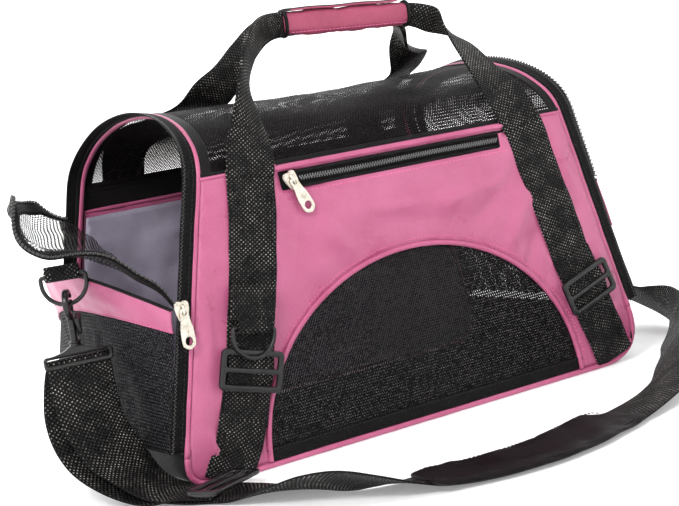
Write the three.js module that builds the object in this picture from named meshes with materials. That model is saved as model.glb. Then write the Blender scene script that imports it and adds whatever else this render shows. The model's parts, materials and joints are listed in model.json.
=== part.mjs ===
// Soft-sided pet carrier bag: a fabric tub with a mesh roof, a door in each end,
// two carry handles and a clip-on shoulder strap.
// Millimetres, +Z up. The origin is the middle of the base, -Y is the front, +X the right end.
import * as THREE from 'three';

// ---- Driving dimensions --------------------------------------------------------------
const HALF_LENGTH = 215;        // half the length at the base
const HALF_WIDTH = 113.5;       // half the width between the outer faces
const SHOULDER_Z = 213;         // where the upright walls end and the crown starts
const CROWN_RISE = 53.5;        // height of the rounded crown above the shoulder
const END_SLOPE = 0.2418;       // how far each end leans inward for each millimetre of height
const GAP = 0.3;                // clearance between neighbouring pieces
const PIPING_R = 2.2;           // radius of the piping along the seams
const LEFT_CORNER = 25;         // rounding of the base at the left end
const RIGHT_CORNER = 45;        // rounding of the base at the right end
const FABRIC = 2;               // thickness of the outer fabric
const MESH_T = 1.4;             // thickness of the netting
const LINING_T = 1.2;           // thickness of the lining
const WEB_HALF = 19;            // half the width of the 38 mm webbing
const STRAP_HALF = 23;          // half the width of the shoulder strap
const WEB_T = 2.4;              // thickness of the webbing
const WINDOW_HALF = 146;        // half the width of the arched window
const WINDOW_RISE = 130;        // height of the arched window
const BINDING_TOP = 14.6;       // top of the binding along the window's lower edge
const PANEL_BOTTOM = 4.9;       // lower edge of the side panels, just above the piping
const PANEL_TOP = 212;          // upper edge of the side panels
const ZIP_LEFT = -101;          // left end of the pocket zip
const ZIP_RIGHT = 98;           // right end of the pocket zip
const ZIP_LOW = 194;            // lower edge of the pocket zip's tape
const ZIP_HIGH = 208;           // upper edge of the pocket zip's tape
const TAPE_START = 2.6;         // where the end zip tape starts, outward of the piping
const TAPE_END = 12;            // outer edge of the end zip tape
const DOOR_N = 12.4;            // inner face of a closed door, outward of the piping
const DOOR_HALF = 112.6;        // half the width of a door
const RIM_WIDTH = 12;           // width of the binding around a door
const LEFT_FOLD_NEAR = 130;     // height of the left door's fold line at the front
const LEFT_FOLD_FAR = 195;      // height of the left door's fold line at the rear
const LEFT_OPEN = 76;           // degrees that the left door stands open at rest
const RIGHT_FOLD = 157;         // height of the right door's fold line

const FRONT_Y = -HALF_WIDTH + 0.5;     // outer face of the front panel
const LEAN = Math.atan(END_SLOPE);
const SHOULDER_S = SHOULDER_Z / Math.cos(LEAN);
const CROWN_S = CROWN_RISE / Math.cos(LEAN);

// ---- Materials -----------------------------------------------------------------------
const material = (color, roughness, metalness = 0) =>
  new THREE.MeshStandardMaterial({ color, roughness, metalness });
const pink = material(0xd06f98, 0.55);
const darkPink = material(0xc8608c, 0.6);
const lining = material(0x665e6b, 0.7);
const blackTape = material(0x1e1c1b, 0.8);
const webbing = material(0x1b1a19, 0.85);
const netting = material(0x242323, 0.8);
const board = material(0x2b2a2c, 0.9);
const plastic = material(0x131313, 0.45);
const nickel = material(0xb9b4aa, 0.3, 1);
const satin = material(0x1d1717, 0.5);

// ---- Geometry helpers ----------------------------------------------------------------
const bag = new THREE.Group();

function add(parent, name, geometry, surface) {
  const mesh = new THREE.Mesh(geometry, surface);
  mesh.name = name;
  parent.add(mesh);
  return mesh;
}

// Turns a closed geometry so that its faces point out.
function facingOut(geometry) {
  const solid = geometry.index ? geometry.toNonIndexed() : geometry;
  const p = solid.attributes.position;
  const [a, b, c] = [new THREE.Vector3(), new THREE.Vector3(), new THREE.Vector3()];
  let volume = 0;
  for (let i = 0; i < p.count; i += 3) {
    a.fromBufferAttribute(p, i);
    b.fromBufferAttribute(p, i + 1);
    c.fromBufferAttribute(p, i + 2);
    volume += a.dot(b.cross(c));
  }
  if (volume < 0) {
    for (let i = 0; i < p.count; i += 3) {
      b.fromBufferAttribute(p, i + 1);
      c.fromBufferAttribute(p, i + 2);
      p.setXYZ(i + 1, c.x, c.y, c.z);
      p.setXYZ(i + 2, b.x, b.y, b.z);
    }
  }
  const clean = new THREE.BufferGeometry();
  clean.setAttribute('position', p);
  clean.computeVertexNormals();
  return clean;
}

// Moves every vertex of a geometry to place(x, y, z).
function moved(geometry, place) {
  const solid = geometry.index ? geometry.toNonIndexed() : geometry;
  const p = solid.attributes.position;
  for (let i = 0; i < p.count; i++) {
    const q = place(p.getX(i), p.getY(i), p.getZ(i));
    p.setXYZ(i, q.x, q.y, q.z);
  }
  return facingOut(solid);
}

function extruded(shape, depth, curveSegments = 12) {
  return new THREE.ExtrudeGeometry(shape, { depth, bevelEnabled: false, curveSegments });
}

// An outline in X and Z made into an upright plate from y to y + depth.
function uprightPlate(shape, y, depth, curveSegments) {
  return moved(extruded(shape, depth, curveSegments), (u, v, w) => new THREE.Vector3(u, y + w, v));
}

// Joins rings of equal point counts into one closed solid with a flat cap at each end.
// Where turned[k] is set, the strips between corner k and the next are cut along the other diagonal.
function lofted(rings, turned = []) {
  const triangles = [];
  const count = rings[0].length;
  const push = (...corners) => corners.forEach((v) => triangles.push(v.x, v.y, v.z));
  for (let r = 0; r + 1 < rings.length; r++) {
    for (let k = 0; k < count; k++) {
      const next = (k + 1) % count;
      if (turned[k]) {
        push(rings[r][k], rings[r][next], rings[r + 1][k]);
        push(rings[r][next], rings[r + 1][next], rings[r + 1][k]);
      } else {
        push(rings[r][k], rings[r][next], rings[r + 1][next]);
        push(rings[r][k], rings[r + 1][next], rings[r + 1][k]);
      }
    }
  }
  const last = rings[rings.length - 1];
  for (let k = 1; k + 1 < count; k++) {
    push(rings[0][0], rings[0][k + 1], rings[0][k]);
    push(last[0], last[k], last[k + 1]);
  }
  const geometry = new THREE.BufferGeometry();
  geometry.setAttribute('position', new THREE.Float32BufferAttribute(triangles, 3));
  return facingOut(geometry);
}

// A thin curved sheet: pointAt(u, v) is its middle surface for u and v from 0 to 1.
function sheet(pointAt, columns, rows, thickness) {
  const step = 1e-3;
  const faces = [-0.5, 0.5].map((side) => {
    const grid = [];
    for (let i = 0; i <= columns; i++) {
      for (let j = 0; j <= rows; j++) {
        const [u, v] = [i / columns, j / rows];
        const du = pointAt(u + step, v).sub(pointAt(u - step, v));
        const dv = pointAt(u, v + step).sub(pointAt(u, v - step));
        const out = du.cross(dv).normalize();
        grid.push(pointAt(u, v).addScaledVector(out, side * thickness));
      }
    }
    return grid;
  });
  const at = (face, i, j) => faces[face][i * (rows + 1) + j];
  const triangles = [];
  const quad = (a, b, c, d) => [a, b, c, a, c, d].forEach((v) => triangles.push(v.x, v.y, v.z));
  for (let i = 0; i < columns; i++) {
    for (let j = 0; j < rows; j++) {
      quad(at(1, i, j), at(1, i + 1, j), at(1, i + 1, j + 1), at(1, i, j + 1));
      quad(at(0, i, j), at(0, i, j + 1), at(0, i + 1, j + 1), at(0, i + 1, j));
    }
    quad(at(0, i, 0), at(0, i + 1, 0), at(1, i + 1, 0), at(1, i, 0));
    quad(at(1, i, rows), at(1, i + 1, rows), at(0, i + 1, rows), at(0, i, rows));
  }
  for (let j = 0; j < rows; j++) {
    quad(at(1, 0, j), at(1, 0, j + 1), at(0, 0, j + 1), at(0, 0, j));
    quad(at(0, columns, j), at(0, columns, j + 1), at(1, columns, j + 1), at(1, columns, j));
  }
  const geometry = new THREE.BufferGeometry();
  geometry.setAttribute('position', new THREE.Float32BufferAttribute(triangles, 3));
  return facingOut(geometry);
}

// Sweeps a closed section through stations [x, y, z, width direction x, y, z, half width].
// The section lists [across, up], across in half widths and up in millimetres.
function swept(stations, section, stepsBetween) {
  const centres = stations.map((p) => new THREE.Vector3(p[0], p[1], p[2]));
  const path = new THREE.CatmullRomCurve3(centres, false, 'centripetal');
  const rings = [];
  const total = (stations.length - 1) * stepsBetween;
  for (let i = 0; i <= total; i++) {
    const t = i / total;
    const place = t * (stations.length - 1);
    const k = Math.min(Math.floor(place), stations.length - 2);
    const f = place - k;
    const mix = (n) => stations[k][n] * (1 - f) + stations[k + 1][n] * f;
    const along = path.getTangent(t);
    const across = new THREE.Vector3(mix(3), mix(4), mix(5));
    across.addScaledVector(along, -across.dot(along)).normalize();
    const up = along.clone().cross(across).normalize();
    const centre = path.getPoint(t);
    const cornerAt = ([a, b]) => centre.clone().addScaledVector(across, a * mix(6)).addScaledVector(up, b);
    rings.push(section.map(cornerAt));
  }
  // Both faces of a twisted band are cut along the same diagonals, so that it keeps its thickness.
  const turned = section.map(([a], k) => a < section[(k + 1) % section.length][0]);
  return lofted(rings, turned);
}

// A flat band with square edges, or with slightly blunted ones.
function ribbon(stations, thickness, stepsBetween, blunted = false) {
  const h = thickness / 2;
  const square = [[1, -h], [1, h], [-1, h], [-1, -h]];
  const flank = 0.97;
  const blunt = [[1, h / 2], [flank, h], [-flank, h], [-1, h / 2]];
  blunt.push(...blunt.map(([a, b]) => [-a, -b]));
  return swept(stations, blunted ? blunt : square, stepsBetween);
}

// A round cord through points, all in the plane that crosses the given direction.
function piping(points, across, radius, stepsBetween) {
  const sides = 6;
  const section = [];
  for (let i = 0; i < sides; i++) {
    const turn = i * 2 * Math.PI / sides;
    section.push([Math.cos(turn), radius * Math.sin(turn)]);
  }
  const stations = points.map((p) => [p.x, p.y, p.z, ...across, radius]);
  return swept(stations, section, stepsBetween);
}

// A point on an end of the bag: y across, s up the leaning end, n outward from the end piping.
function onEnd(side, y, s, n) {
  return new THREE.Vector3(
    side * (HALF_LENGTH - s * Math.sin(LEAN) + n * Math.cos(LEAN)),
    y,
    s * Math.cos(LEAN) + n * Math.sin(LEAN),
  );
}

// An outline in y and s made into a plate lying on an end, from n to n + depth.
function endPlate(side, shape, n, depth, curveSegments = 10) {
  return moved(extruded(shape, depth, curveSegments), (y, s, w) => onEnd(side, y, s, n + w));
}

// The half outline of the bag's end, as an arch of the given half width.
function addArch(shape, half, rise, startLeft, startRight) {
  shape.moveTo(-half, startLeft);
  shape.lineTo(-half, SHOULDER_S);
  shape.absellipse(0, SHOULDER_S, half, rise, Math.PI, 0, true);
  shape.lineTo(half, startRight);
}

// A band of the given width along the arch of an end.
function archBand(half, width, startLeft, startRight) {
  const inner = half - width;
  const rise = CROWN_S - (HALF_WIDTH - half);
  const shape = new THREE.Shape();
  const slope = (startRight - startLeft) / (2 * half);
  addArch(shape, half, rise, startLeft, startRight);
  shape.lineTo(inner, startRight - slope * width);
  shape.lineTo(inner, SHOULDER_S);
  shape.absellipse(0, SHOULDER_S, inner, rise - width, 0, Math.PI, false);
  shape.lineTo(-inner, startLeft + slope * width);
  shape.closePath();
  return shape;
}

const endX = (z) => HALF_LENGTH - END_SLOPE * z;

// ---- Base ----------------------------------------------------------------------------
const TRAY_T = 2.5;
const TRAY_HALF = 109.2;

function trayShape() {
  const shape = new THREE.Shape();
  const left = endX(LEFT_CORNER);
  const right = endX(RIGHT_CORNER);
  shape.moveTo(-left, LEFT_CORNER);
  shape.quadraticCurveTo(-HALF_LENGTH, 0, -(HALF_LENGTH - LEFT_CORNER), 0);
  shape.lineTo(HALF_LENGTH - RIGHT_CORNER, 0);
  shape.quadraticCurveTo(HALF_LENGTH, 0, right, RIGHT_CORNER);
  shape.lineTo(right - TRAY_T, RIGHT_CORNER);
  shape.quadraticCurveTo(HALF_LENGTH - TRAY_T, TRAY_T, HALF_LENGTH - RIGHT_CORNER, TRAY_T);
  shape.lineTo(-(HALF_LENGTH - LEFT_CORNER), TRAY_T);
  shape.quadraticCurveTo(-HALF_LENGTH + TRAY_T, TRAY_T, -left + TRAY_T, LEFT_CORNER);
  shape.closePath();
  return shape;
}

function addBase() {
  add(bag, 'base_panel', uprightPlate(trayShape(), -TRAY_HALF, 2 * TRAY_HALF, 6), blackTape);
  const thickness = 4;
  const left = -(HALF_LENGTH - LEFT_CORNER) + 1;
  const right = HALF_LENGTH - RIGHT_CORNER + 3;
  const geometry = new THREE.BoxGeometry(right - left, 2 * TRAY_HALF - 1, thickness);
  const plate = add(bag, 'base_board', geometry, board);
  plate.position.set((left + right) / 2, 0, TRAY_T + GAP + thickness / 2);
}

// ---- Side panels ---------------------------------------------------------------------
function sideOutline(inset, bottom, top, window) {
  const shape = new THREE.Shape();
  const edge = (z) => endX(z) - inset;
  shape.moveTo(-edge(top), top);
  shape.lineTo(-edge(LEFT_CORNER), LEFT_CORNER);
  shape.quadraticCurveTo(-edge(bottom), bottom, -(HALF_LENGTH - LEFT_CORNER), bottom);
  if (window) {
    shape.lineTo(-WINDOW_HALF, bottom);
    shape.absellipse(0, bottom, WINDOW_HALF, WINDOW_RISE + PANEL_BOTTOM - bottom, Math.PI, 0, true);
  }
  shape.lineTo(HALF_LENGTH - RIGHT_CORNER, bottom);
  shape.quadraticCurveTo(edge(bottom), bottom, edge(RIGHT_CORNER), RIGHT_CORNER);
  shape.lineTo(edge(top), top);
  shape.closePath();
  return shape;
}

function rectangle(x0, z0, x1, z1) {
  const path = new THREE.Path();
  path.moveTo(x0, z0);
  path.lineTo(x1, z0);
  path.lineTo(x1, z1);
  path.lineTo(x0, z1);
  path.closePath();
  return path;
}

// Points along a rounded bottom corner of the outline, from the end edge to the base.
function cornerPoints(side, corner, seat, y) {
  const curve = new THREE.QuadraticBezierCurve(
    new THREE.Vector2(endX(corner), corner),
    new THREE.Vector2(endX(seat), seat),
    new THREE.Vector2(HALF_LENGTH - corner, seat),
  );
  return curve.getPoints(4).map((p) => new THREE.Vector3(side * p.x, y, p.y));
}

function bottomPiping(y) {
  const seat = PIPING_R + 0.2;
  const left = cornerPoints(-1, LEFT_CORNER, seat, y);
  const right = cornerPoints(1, RIGHT_CORNER, seat, y).reverse();
  const straight = [-120, 0, 120].map((x) => new THREE.Vector3(x, y, seat));
  return piping([...left, ...straight, ...right], [0, 1, 0], PIPING_R, 2);
}

function addFront() {
  const panel = sideOutline(2.9, PANEL_BOTTOM, PANEL_TOP, true);
  panel.holes.push(rectangle(ZIP_LEFT, ZIP_LOW, ZIP_RIGHT, ZIP_HIGH));
  add(bag, 'front_panel', uprightPlate(panel, FRONT_Y, FABRIC, 16), pink);

  const tapeY = FRONT_Y + GAP;
  const tape = new THREE.Shape(rectangle(ZIP_LEFT + GAP, ZIP_LOW + GAP, ZIP_RIGHT - GAP, ZIP_HIGH - GAP).getPoints());
  add(bag, 'pocket_zip_tape', uprightPlate(tape, tapeY, MESH_T), blackTape);

  const low = BINDING_TOP + 0.4;
  const rise = WINDOW_RISE - 0.5;
  const half = WINDOW_HALF - 0.5;
  const start = Math.asin((low - PANEL_BOTTOM) / rise);
  const net = new THREE.Shape();
  net.absellipse(0, PANEL_BOTTOM, half, rise, Math.PI - start, start, true);
  net.closePath();
  add(bag, 'front_window_mesh', uprightPlate(net, tapeY, MESH_T, 24), netting);

  const strip = new THREE.Shape(rectangle(-145, PANEL_BOTTOM + GAP, 145, BINDING_TOP).getPoints());
  add(bag, 'front_window_binding', uprightPlate(strip, FRONT_Y, FABRIC), blackTape);

  const inner = sideOutline(5, 9, PANEL_TOP - 2, true);
  add(bag, 'front_lining', uprightPlate(inner, FRONT_Y + FABRIC + GAP, LINING_T, 16), lining);

  const pipingY = -HALF_WIDTH + 1;
  add(bag, 'front_bottom_piping', bottomPiping(pipingY), darkPink);
  const topLine = [ZIP_LEFT, -30, 30, ZIP_RIGHT].map((x) => new THREE.Vector3(x, FRONT_Y - 1.8, 211));
  add(bag, 'front_top_piping', piping(topLine, [0, 1, 0], 1.4, 1), darkPink);
}

function addRear() {
  const rearY = -FRONT_Y - FABRIC;
  const panel = sideOutline(2.9, PANEL_BOTTOM, ZIP_LOW - GAP, false);
  add(bag, 'rear_panel', uprightPlate(panel, rearY, FABRIC, 6), pink);
  const x0 = endX(ZIP_LOW) - 3.2;
  const x1 = endX(PANEL_TOP) - 3.2;
  const band = new THREE.Shape();
  band.moveTo(-x0, ZIP_LOW);
  band.lineTo(x0, ZIP_LOW);
  band.lineTo(x1, PANEL_TOP);
  band.lineTo(-x1, PANEL_TOP);
  band.closePath();
  add(bag, 'rear_top_band', uprightPlate(band, rearY, FABRIC), blackTape);
  const inner = sideOutline(5, 9, 190, false);
  add(bag, 'rear_lining', uprightPlate(inner, rearY - GAP - LINING_T, LINING_T, 6), lining);
  add(bag, 'rear_bottom_piping', bottomPiping(HALF_WIDTH - 1), darkPink);
}

// ---- Roof ----------------------------------------------------------------------------
function addRoof() {
  const half = HALF_WIDTH - 1.3;
  const rise = CROWN_RISE - 1.5;
  const base = SHOULDER_Z + 0.6;
  const first = 0.02;
  const sag = 3;
  const roof = (u, v) => {
    const turn = first + (Math.PI - 2 * first) * v;
    const z = base + (rise - sag * Math.sin(Math.PI * u)) * Math.sin(turn);
    const reach = endX(z) - 3.4;
    return new THREE.Vector3((2 * u - 1) * reach, -half * Math.cos(turn), z);
  };
  add(bag, 'roof_mesh', sheet(roof, 6, 16, MESH_T), netting);
}

// ---- Ends ----------------------------------------------------------------------------
// The lower end panel hangs out in a belly. Its middle rises and stands out the most.
const bellyShare = (y) => Math.cos(Math.PI * y / (2 * HALF_WIDTH));

const END_SHAPES = {
  left: { side: -1, corner: LEFT_CORNER, bandLow: [112, 12], outLow: [13.6, 30], bandHigh: [127, 25], outHigh: [15, 46] },
  right: { side: 1, corner: RIGHT_CORNER, bandLow: [114, 0], outLow: [13.6, 3], bandHigh: [154, 0], outHigh: [13.6, 4] },
};

function addEnd(name, end) {
  const { side, corner } = end;
  const start = corner / Math.cos(LEAN) + 8;
  const pipingHalf = HALF_WIDTH - PIPING_R;
  const pipingPoints = [];
  for (const s of [start, 110, SHOULDER_S - 12]) pipingPoints.push(onEnd(side, -pipingHalf, s, 0));
  for (let i = 0; i <= 12; i++) {
    const turn = Math.PI * i / 12;
    const y = -pipingHalf * Math.cos(turn);
    pipingPoints.push(onEnd(side, y, SHOULDER_S + (CROWN_S - PIPING_R) * Math.sin(turn), 0));
  }
  for (const s of [SHOULDER_S - 12, 110, start]) pipingPoints.push(onEnd(side, pipingHalf, s, 0));
  const outward = [side * Math.cos(LEAN), 0, Math.sin(LEAN)];
  add(bag, `${name}_end_piping`, piping(pipingPoints, outward, PIPING_R, 2), darkPink);

  const tape = archBand(HALF_WIDTH - 0.3, FABRIC, start - 4, start - 4);
  add(bag, `${name}_zip_tape`, endPlate(side, tape, TAPE_START, TAPE_END - TAPE_START, 9), blackTape);

  const across = DOOR_HALF - 1.4;
  const lineAt = (base, y) => base[0] + base[1] * bellyShare(y);
  const lower = (u, v) => {
    const y = (2 * u - 1) * across;
    const top = lineAt(end.bandLow, y) - 0.9;
    const s = start - 2 + (top - start + 2) * v;
    const belly = end.outLow[1] * bellyShare(y) * (0.1 + 0.4 * v + 0.5 * v * v);
    return onEnd(side, y, s, end.outLow[0] + belly);
  };
  add(bag, `${name}_lower_mesh`, sheet(lower, 8, 5, MESH_T), netting);
  const band = (u, v) => {
    const y = (2 * u - 1) * across;
    const s = lineAt(end.bandLow, y) * (1 - v) + lineAt(end.bandHigh, y) * v;
    return onEnd(side, y, s, lineAt(end.outLow, y) * (1 - v) + lineAt(end.outHigh, y) * v);
  };
  add(bag, `${name}_band`, sheet(band, 8, 2, FABRIC - 0.4), pink);
}

// ---- Doors ---------------------------------------------------------------------------
// A door is netting with a binding along its arch. It is drawn closed, and its group turns
// about its fold line, which runs from the front corner to the rear one.
function addDoor(name, side, foldNear, foldFar, openDegrees) {
  const lift = 0.8;
  const near = onEnd(side, -DOOR_HALF, foldNear, DOOR_N - 0.2);
  const far = onEnd(side, DOOR_HALF, foldFar, DOOR_N - 0.2);
  const hinge = new THREE.Group();
  hinge.position.copy(near);
  const axis = far.clone().sub(near).normalize();
  hinge.quaternion.setFromAxisAngle(axis, side * THREE.MathUtils.degToRad(openDegrees));
  const door = new THREE.Group();
  door.position.copy(near).negate();
  hinge.add(door);
  bag.add(hinge);

  const rim = archBand(DOOR_HALF, RIM_WIDTH, foldNear + lift, foldFar + lift);
  add(door, `${name}_door_rim`, endPlate(side, rim, DOOR_N, FABRIC, 9), blackTape);

  const half = DOOR_HALF - RIM_WIDTH - GAP;
  const slope = (foldFar - foldNear) / (2 * DOOR_HALF);
  const rise = CROWN_S - (HALF_WIDTH - DOOR_HALF) - RIM_WIDTH - GAP;
  const net = new THREE.Shape();
  const middle = (foldNear + foldFar) / 2 + lift;
  addArch(net, half, rise, middle - slope * half, middle + slope * half);
  net.closePath();
  add(door, `${name}_door_mesh`, endPlate(side, net, DOOR_N + GAP, MESH_T, 9), netting);
}

// ---- Hardware ------------------------------------------------------------------------
const degrees = THREE.MathUtils.degToRad;

// A zip slider that faces the front, with its pull tab hanging from it.
function addSlider(name, position) {
  const group = new THREE.Group();
  group.position.set(...position);
  bag.add(group);
  const body = new THREE.Shape();
  body.moveTo(-3, -7);
  body.lineTo(3, -7);
  body.quadraticCurveTo(5.6, 0, 5, 5.5);
  body.quadraticCurveTo(0, 8.5, -5, 5.5);
  body.quadraticCurveTo(-5.6, 0, -3, -7);
  add(group, `${name}_slider`, uprightPlate(body, -3.2, 3, 4), nickel);
  const tab = new THREE.Shape();
  tab.moveTo(-3.2, 1);
  tab.quadraticCurveTo(0, 3, 3.2, 1);
  tab.lineTo(4.8, -10);
  tab.lineTo(5.2, -22);
  tab.quadraticCurveTo(0, -29, -5.2, -22);
  tab.lineTo(-4.8, -10);
  tab.closePath();
  tab.holes.push(rectangle(-1.9, -20.5, 1.9, -17));
  add(group, `${name}_pull`, uprightPlate(tab, -5.2, 1.6, 4), nickel);
  return group;
}

function addSliders() {
  const outside = -HALF_WIDTH - GAP;
  const leftNear = onEnd(-1, 0, 128, 10);
  addSlider('left_front', [leftNear.x, outside, leftNear.z]);
  const leftFar = onEnd(-1, 0, 188, 10);
  addSlider('left_rear', [leftFar.x, -outside, leftFar.z]).rotation.z = Math.PI;
  const rightFar = onEnd(1, 0, 150, 10);
  addSlider('right_rear', [rightFar.x, -outside, rightFar.z]).rotation.z = Math.PI;
  addSlider('pocket', [-92, FRONT_Y, 201]).rotation.y = degrees(-24);
}

// A D-shaped ring: straight bar on top, round below. Its middle is the middle of the bar.
const RING_HALF = 18;
const RING_BAR = 3.4;
const RING_DROP = 5;

function ringShape() {
  const shape = new THREE.Shape();
  shape.moveTo(-RING_HALF, RING_BAR / 2);
  shape.lineTo(-RING_HALF, -RING_DROP);
  shape.absellipse(0, -RING_DROP, RING_HALF, RING_HALF, Math.PI, 2 * Math.PI, false);
  shape.lineTo(RING_HALF, RING_BAR / 2);
  shape.closePath();
  const hole = new THREE.Path();
  const half = RING_HALF - RING_BAR;
  hole.moveTo(-half, -RING_BAR / 2);
  hole.lineTo(half, -RING_BAR / 2);
  hole.lineTo(half, -RING_DROP);
  hole.absellipse(0, -RING_DROP, half, half, 0, -Math.PI, true);
  hole.closePath();
  shape.holes.push(hole);
  return shape;
}

const RING_T = 3;

function addRing(group, name) {
  add(group, name, uprightPlate(ringShape(), -RING_T / 2, RING_T, 7), plastic);
}

const LOOP_WALL = 1.4;          // thickness of the webbing folded round a ring's bar
const LOOP_AIR = 0.9;           // room for the bar to turn in the fold
const LOOP_TOP = 4.5;           // the sewn part of the tab above the bar

// The folded webbing tab that holds a ring's bar, wrapped right round it.
function addRingLoop(group, name) {
  const [halfY, halfZ] = [RING_T / 2 + LOOP_AIR, RING_BAR / 2 + LOOP_AIR];
  const [outY, low, high] = [halfY + LOOP_WALL, -halfZ - LOOP_WALL, halfZ + LOOP_TOP];
  const shape = new THREE.Shape(rectangle(-outY, low, outY, high).getPoints());
  shape.holes.push(rectangle(-halfY, -halfZ, halfY, halfZ));
  const width = 25;
  const place = (u, v, w) => new THREE.Vector3(w - width / 2, u, v);
  add(group, name, moved(extruded(shape, width), place), webbing);
}

const HOOK_OUT = 11.5;
const HOOK_IN = 6.5;
const HOOK_T = 4.5;
const HOOK_STEM = 30;

// The snap hook's crook and stem. Its middle is where the ring passes through the crook.
function hookShape() {
  const shape = new THREE.Shape();
  shape.moveTo(HOOK_OUT * Math.cos(degrees(20)), HOOK_OUT * Math.sin(degrees(20)));
  shape.absarc(0, 0, HOOK_OUT, degrees(20), degrees(252), false);
  shape.lineTo(-3.5, -HOOK_STEM);
  shape.lineTo(3.5, -HOOK_STEM);
  shape.absarc(0, 0, HOOK_OUT, degrees(288), degrees(310), false);
  shape.absarc(0, 0, HOOK_IN, degrees(310), degrees(38), true);
  shape.closePath();
  return shape;
}

function gateShape() {
  const at = (r, a) => [r * Math.cos(degrees(a)), r * Math.sin(degrees(a))];
  const shape = new THREE.Shape();
  shape.moveTo(...at(7.2, -44));
  shape.lineTo(...at(11, -44));
  shape.lineTo(...at(11, 14));
  shape.lineTo(...at(7.2, 14));
  shape.closePath();
  return shape;
}

// The hook's swivel foot: a wide eye for the strap.
function footShape() {
  const shape = new THREE.Shape();
  const half = STRAP_HALF + 2;
  shape.moveTo(-half, -9);
  shape.lineTo(half, -9);
  shape.lineTo(half, 1);
  shape.lineTo(6, 5);
  shape.lineTo(-6, 5);
  shape.lineTo(-half, 1);
  shape.closePath();
  shape.holes.push(rectangle(-STRAP_HALF, -5.5, STRAP_HALF, -1));
  return shape;
}

// Ring, tab, hook, gate and foot at one end. turn faces the ring, lean tips the hook outward.
function addClip(name, position, turn, lean, footTurn) {
  const group = new THREE.Group();
  group.position.set(...position);
  group.rotation.set(0, lean, 0);
  bag.add(group);
  const facing = new THREE.Group();
  facing.rotation.z = degrees(turn);
  group.add(facing);
  addRing(facing, `${name}_ring`);
  addRingLoop(facing, `${name}_ring_loop`);

  const ringBottom = -RING_DROP - RING_HALF + RING_BAR / 2;
  const hook = new THREE.Group();
  hook.rotation.z = degrees(90);
  hook.position.z = ringBottom;
  facing.add(hook);
  add(hook, `${name}_hook`, uprightPlate(hookShape(), -HOOK_T / 2, HOOK_T, 8), plastic);
  add(hook, `${name}_hook_gate`, uprightPlate(gateShape(), -2, 4), plastic);

  const foot = new THREE.Group();
  foot.rotation.z = degrees(footTurn);
  foot.position.z = ringBottom - HOOK_STEM - 5 - GAP;
  group.add(foot);
  add(foot, `${name}_hook_foot`, uprightPlate(footShape(), -2.2, 4.4), plastic);
}

// ---- Webbing sewn to the sides -------------------------------------------------------
const LEFT_WEB = [[-175, 14], [-166, 33], [-153, 72], [-145, 102], [-132, 159], [-124.5, 205], [-124.5, 212.6]];
const RIGHT_WEB = [[180, 12.5], [167, 48], [152, 94], [137, 150], [122, 205], [122, 212.6]];

function webShape(points) {
  const left = [];
  const right = [];
  points.forEach(([x, z], i) => {
    const before = points[Math.max(i - 1, 0)];
    const after = points[Math.min(i + 1, points.length - 1)];
    const along = new THREE.Vector2(after[0] - before[0], after[1] - before[1]).normalize();
    left.push(new THREE.Vector2(x - along.y * WEB_HALF, z + along.x * WEB_HALF));
    right.push(new THREE.Vector2(x + along.y * WEB_HALF, z - along.x * WEB_HALF));
  });
  return new THREE.Shape([...left, ...right.reverse()]);
}

const TRIGLIDE_T = 3.2;

// A tri-glide lies flat on its webbing: a frame with a middle bar.
function addTriglide(parent, name, width, height) {
  const shape = new THREE.Shape(rectangle(-width / 2, -height / 2, width / 2, height / 2).getPoints());
  const bar = 4;
  shape.holes.push(rectangle(-width / 2 + bar, 2, width / 2 - bar, height / 2 - bar));
  shape.holes.push(rectangle(-width / 2 + bar, -height / 2 + bar, width / 2 - bar, -2));
  add(parent, name, uprightPlate(shape, -TRIGLIDE_T, TRIGLIDE_T), plastic);
}

function addSewnWebbing() {
  const outer = FRONT_Y - GAP - WEB_T;
  add(bag, 'front_left_webbing', uprightPlate(webShape(LEFT_WEB), outer, WEB_T), webbing);
  add(bag, 'front_right_webbing', uprightPlate(webShape(RIGHT_WEB), outer, WEB_T), webbing);
  add(bag, 'rear_left_webbing', uprightPlate(webShape(LEFT_WEB), -outer - WEB_T, WEB_T), webbing);
  add(bag, 'rear_right_webbing', uprightPlate(webShape(RIGHT_WEB), -outer - WEB_T, WEB_T), webbing);

  const glides = [['front_left_triglide', -152, 74, 16], ['front_right_triglide', 161, 70, -18]];
  for (const [name, x, z, turn] of glides) {
    const group = new THREE.Group();
    group.position.set(x, outer - GAP, z);
    group.rotation.y = degrees(turn);
    bag.add(group);
    addTriglide(group, name, 50, 30);
  }
  const ring = new THREE.Group();
  const loopBack = RING_T / 2 + LOOP_AIR + LOOP_WALL;
  ring.position.set(-146, outer - 2 * GAP - TRIGLIDE_T - loopBack, 104);
  ring.rotation.y = degrees(12);
  bag.add(ring);
  addRing(ring, 'front_ring');
  addRingLoop(ring, 'front_ring_loop');
}

// ---- Handles -------------------------------------------------------------------------
const GRIP_LEFT = -47;
const GRIP_RIGHT = 82;
const GRIP_Z = 314;
const GRIP_HALF = 7.4;
const GRIP_TILT = 2.2;

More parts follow.
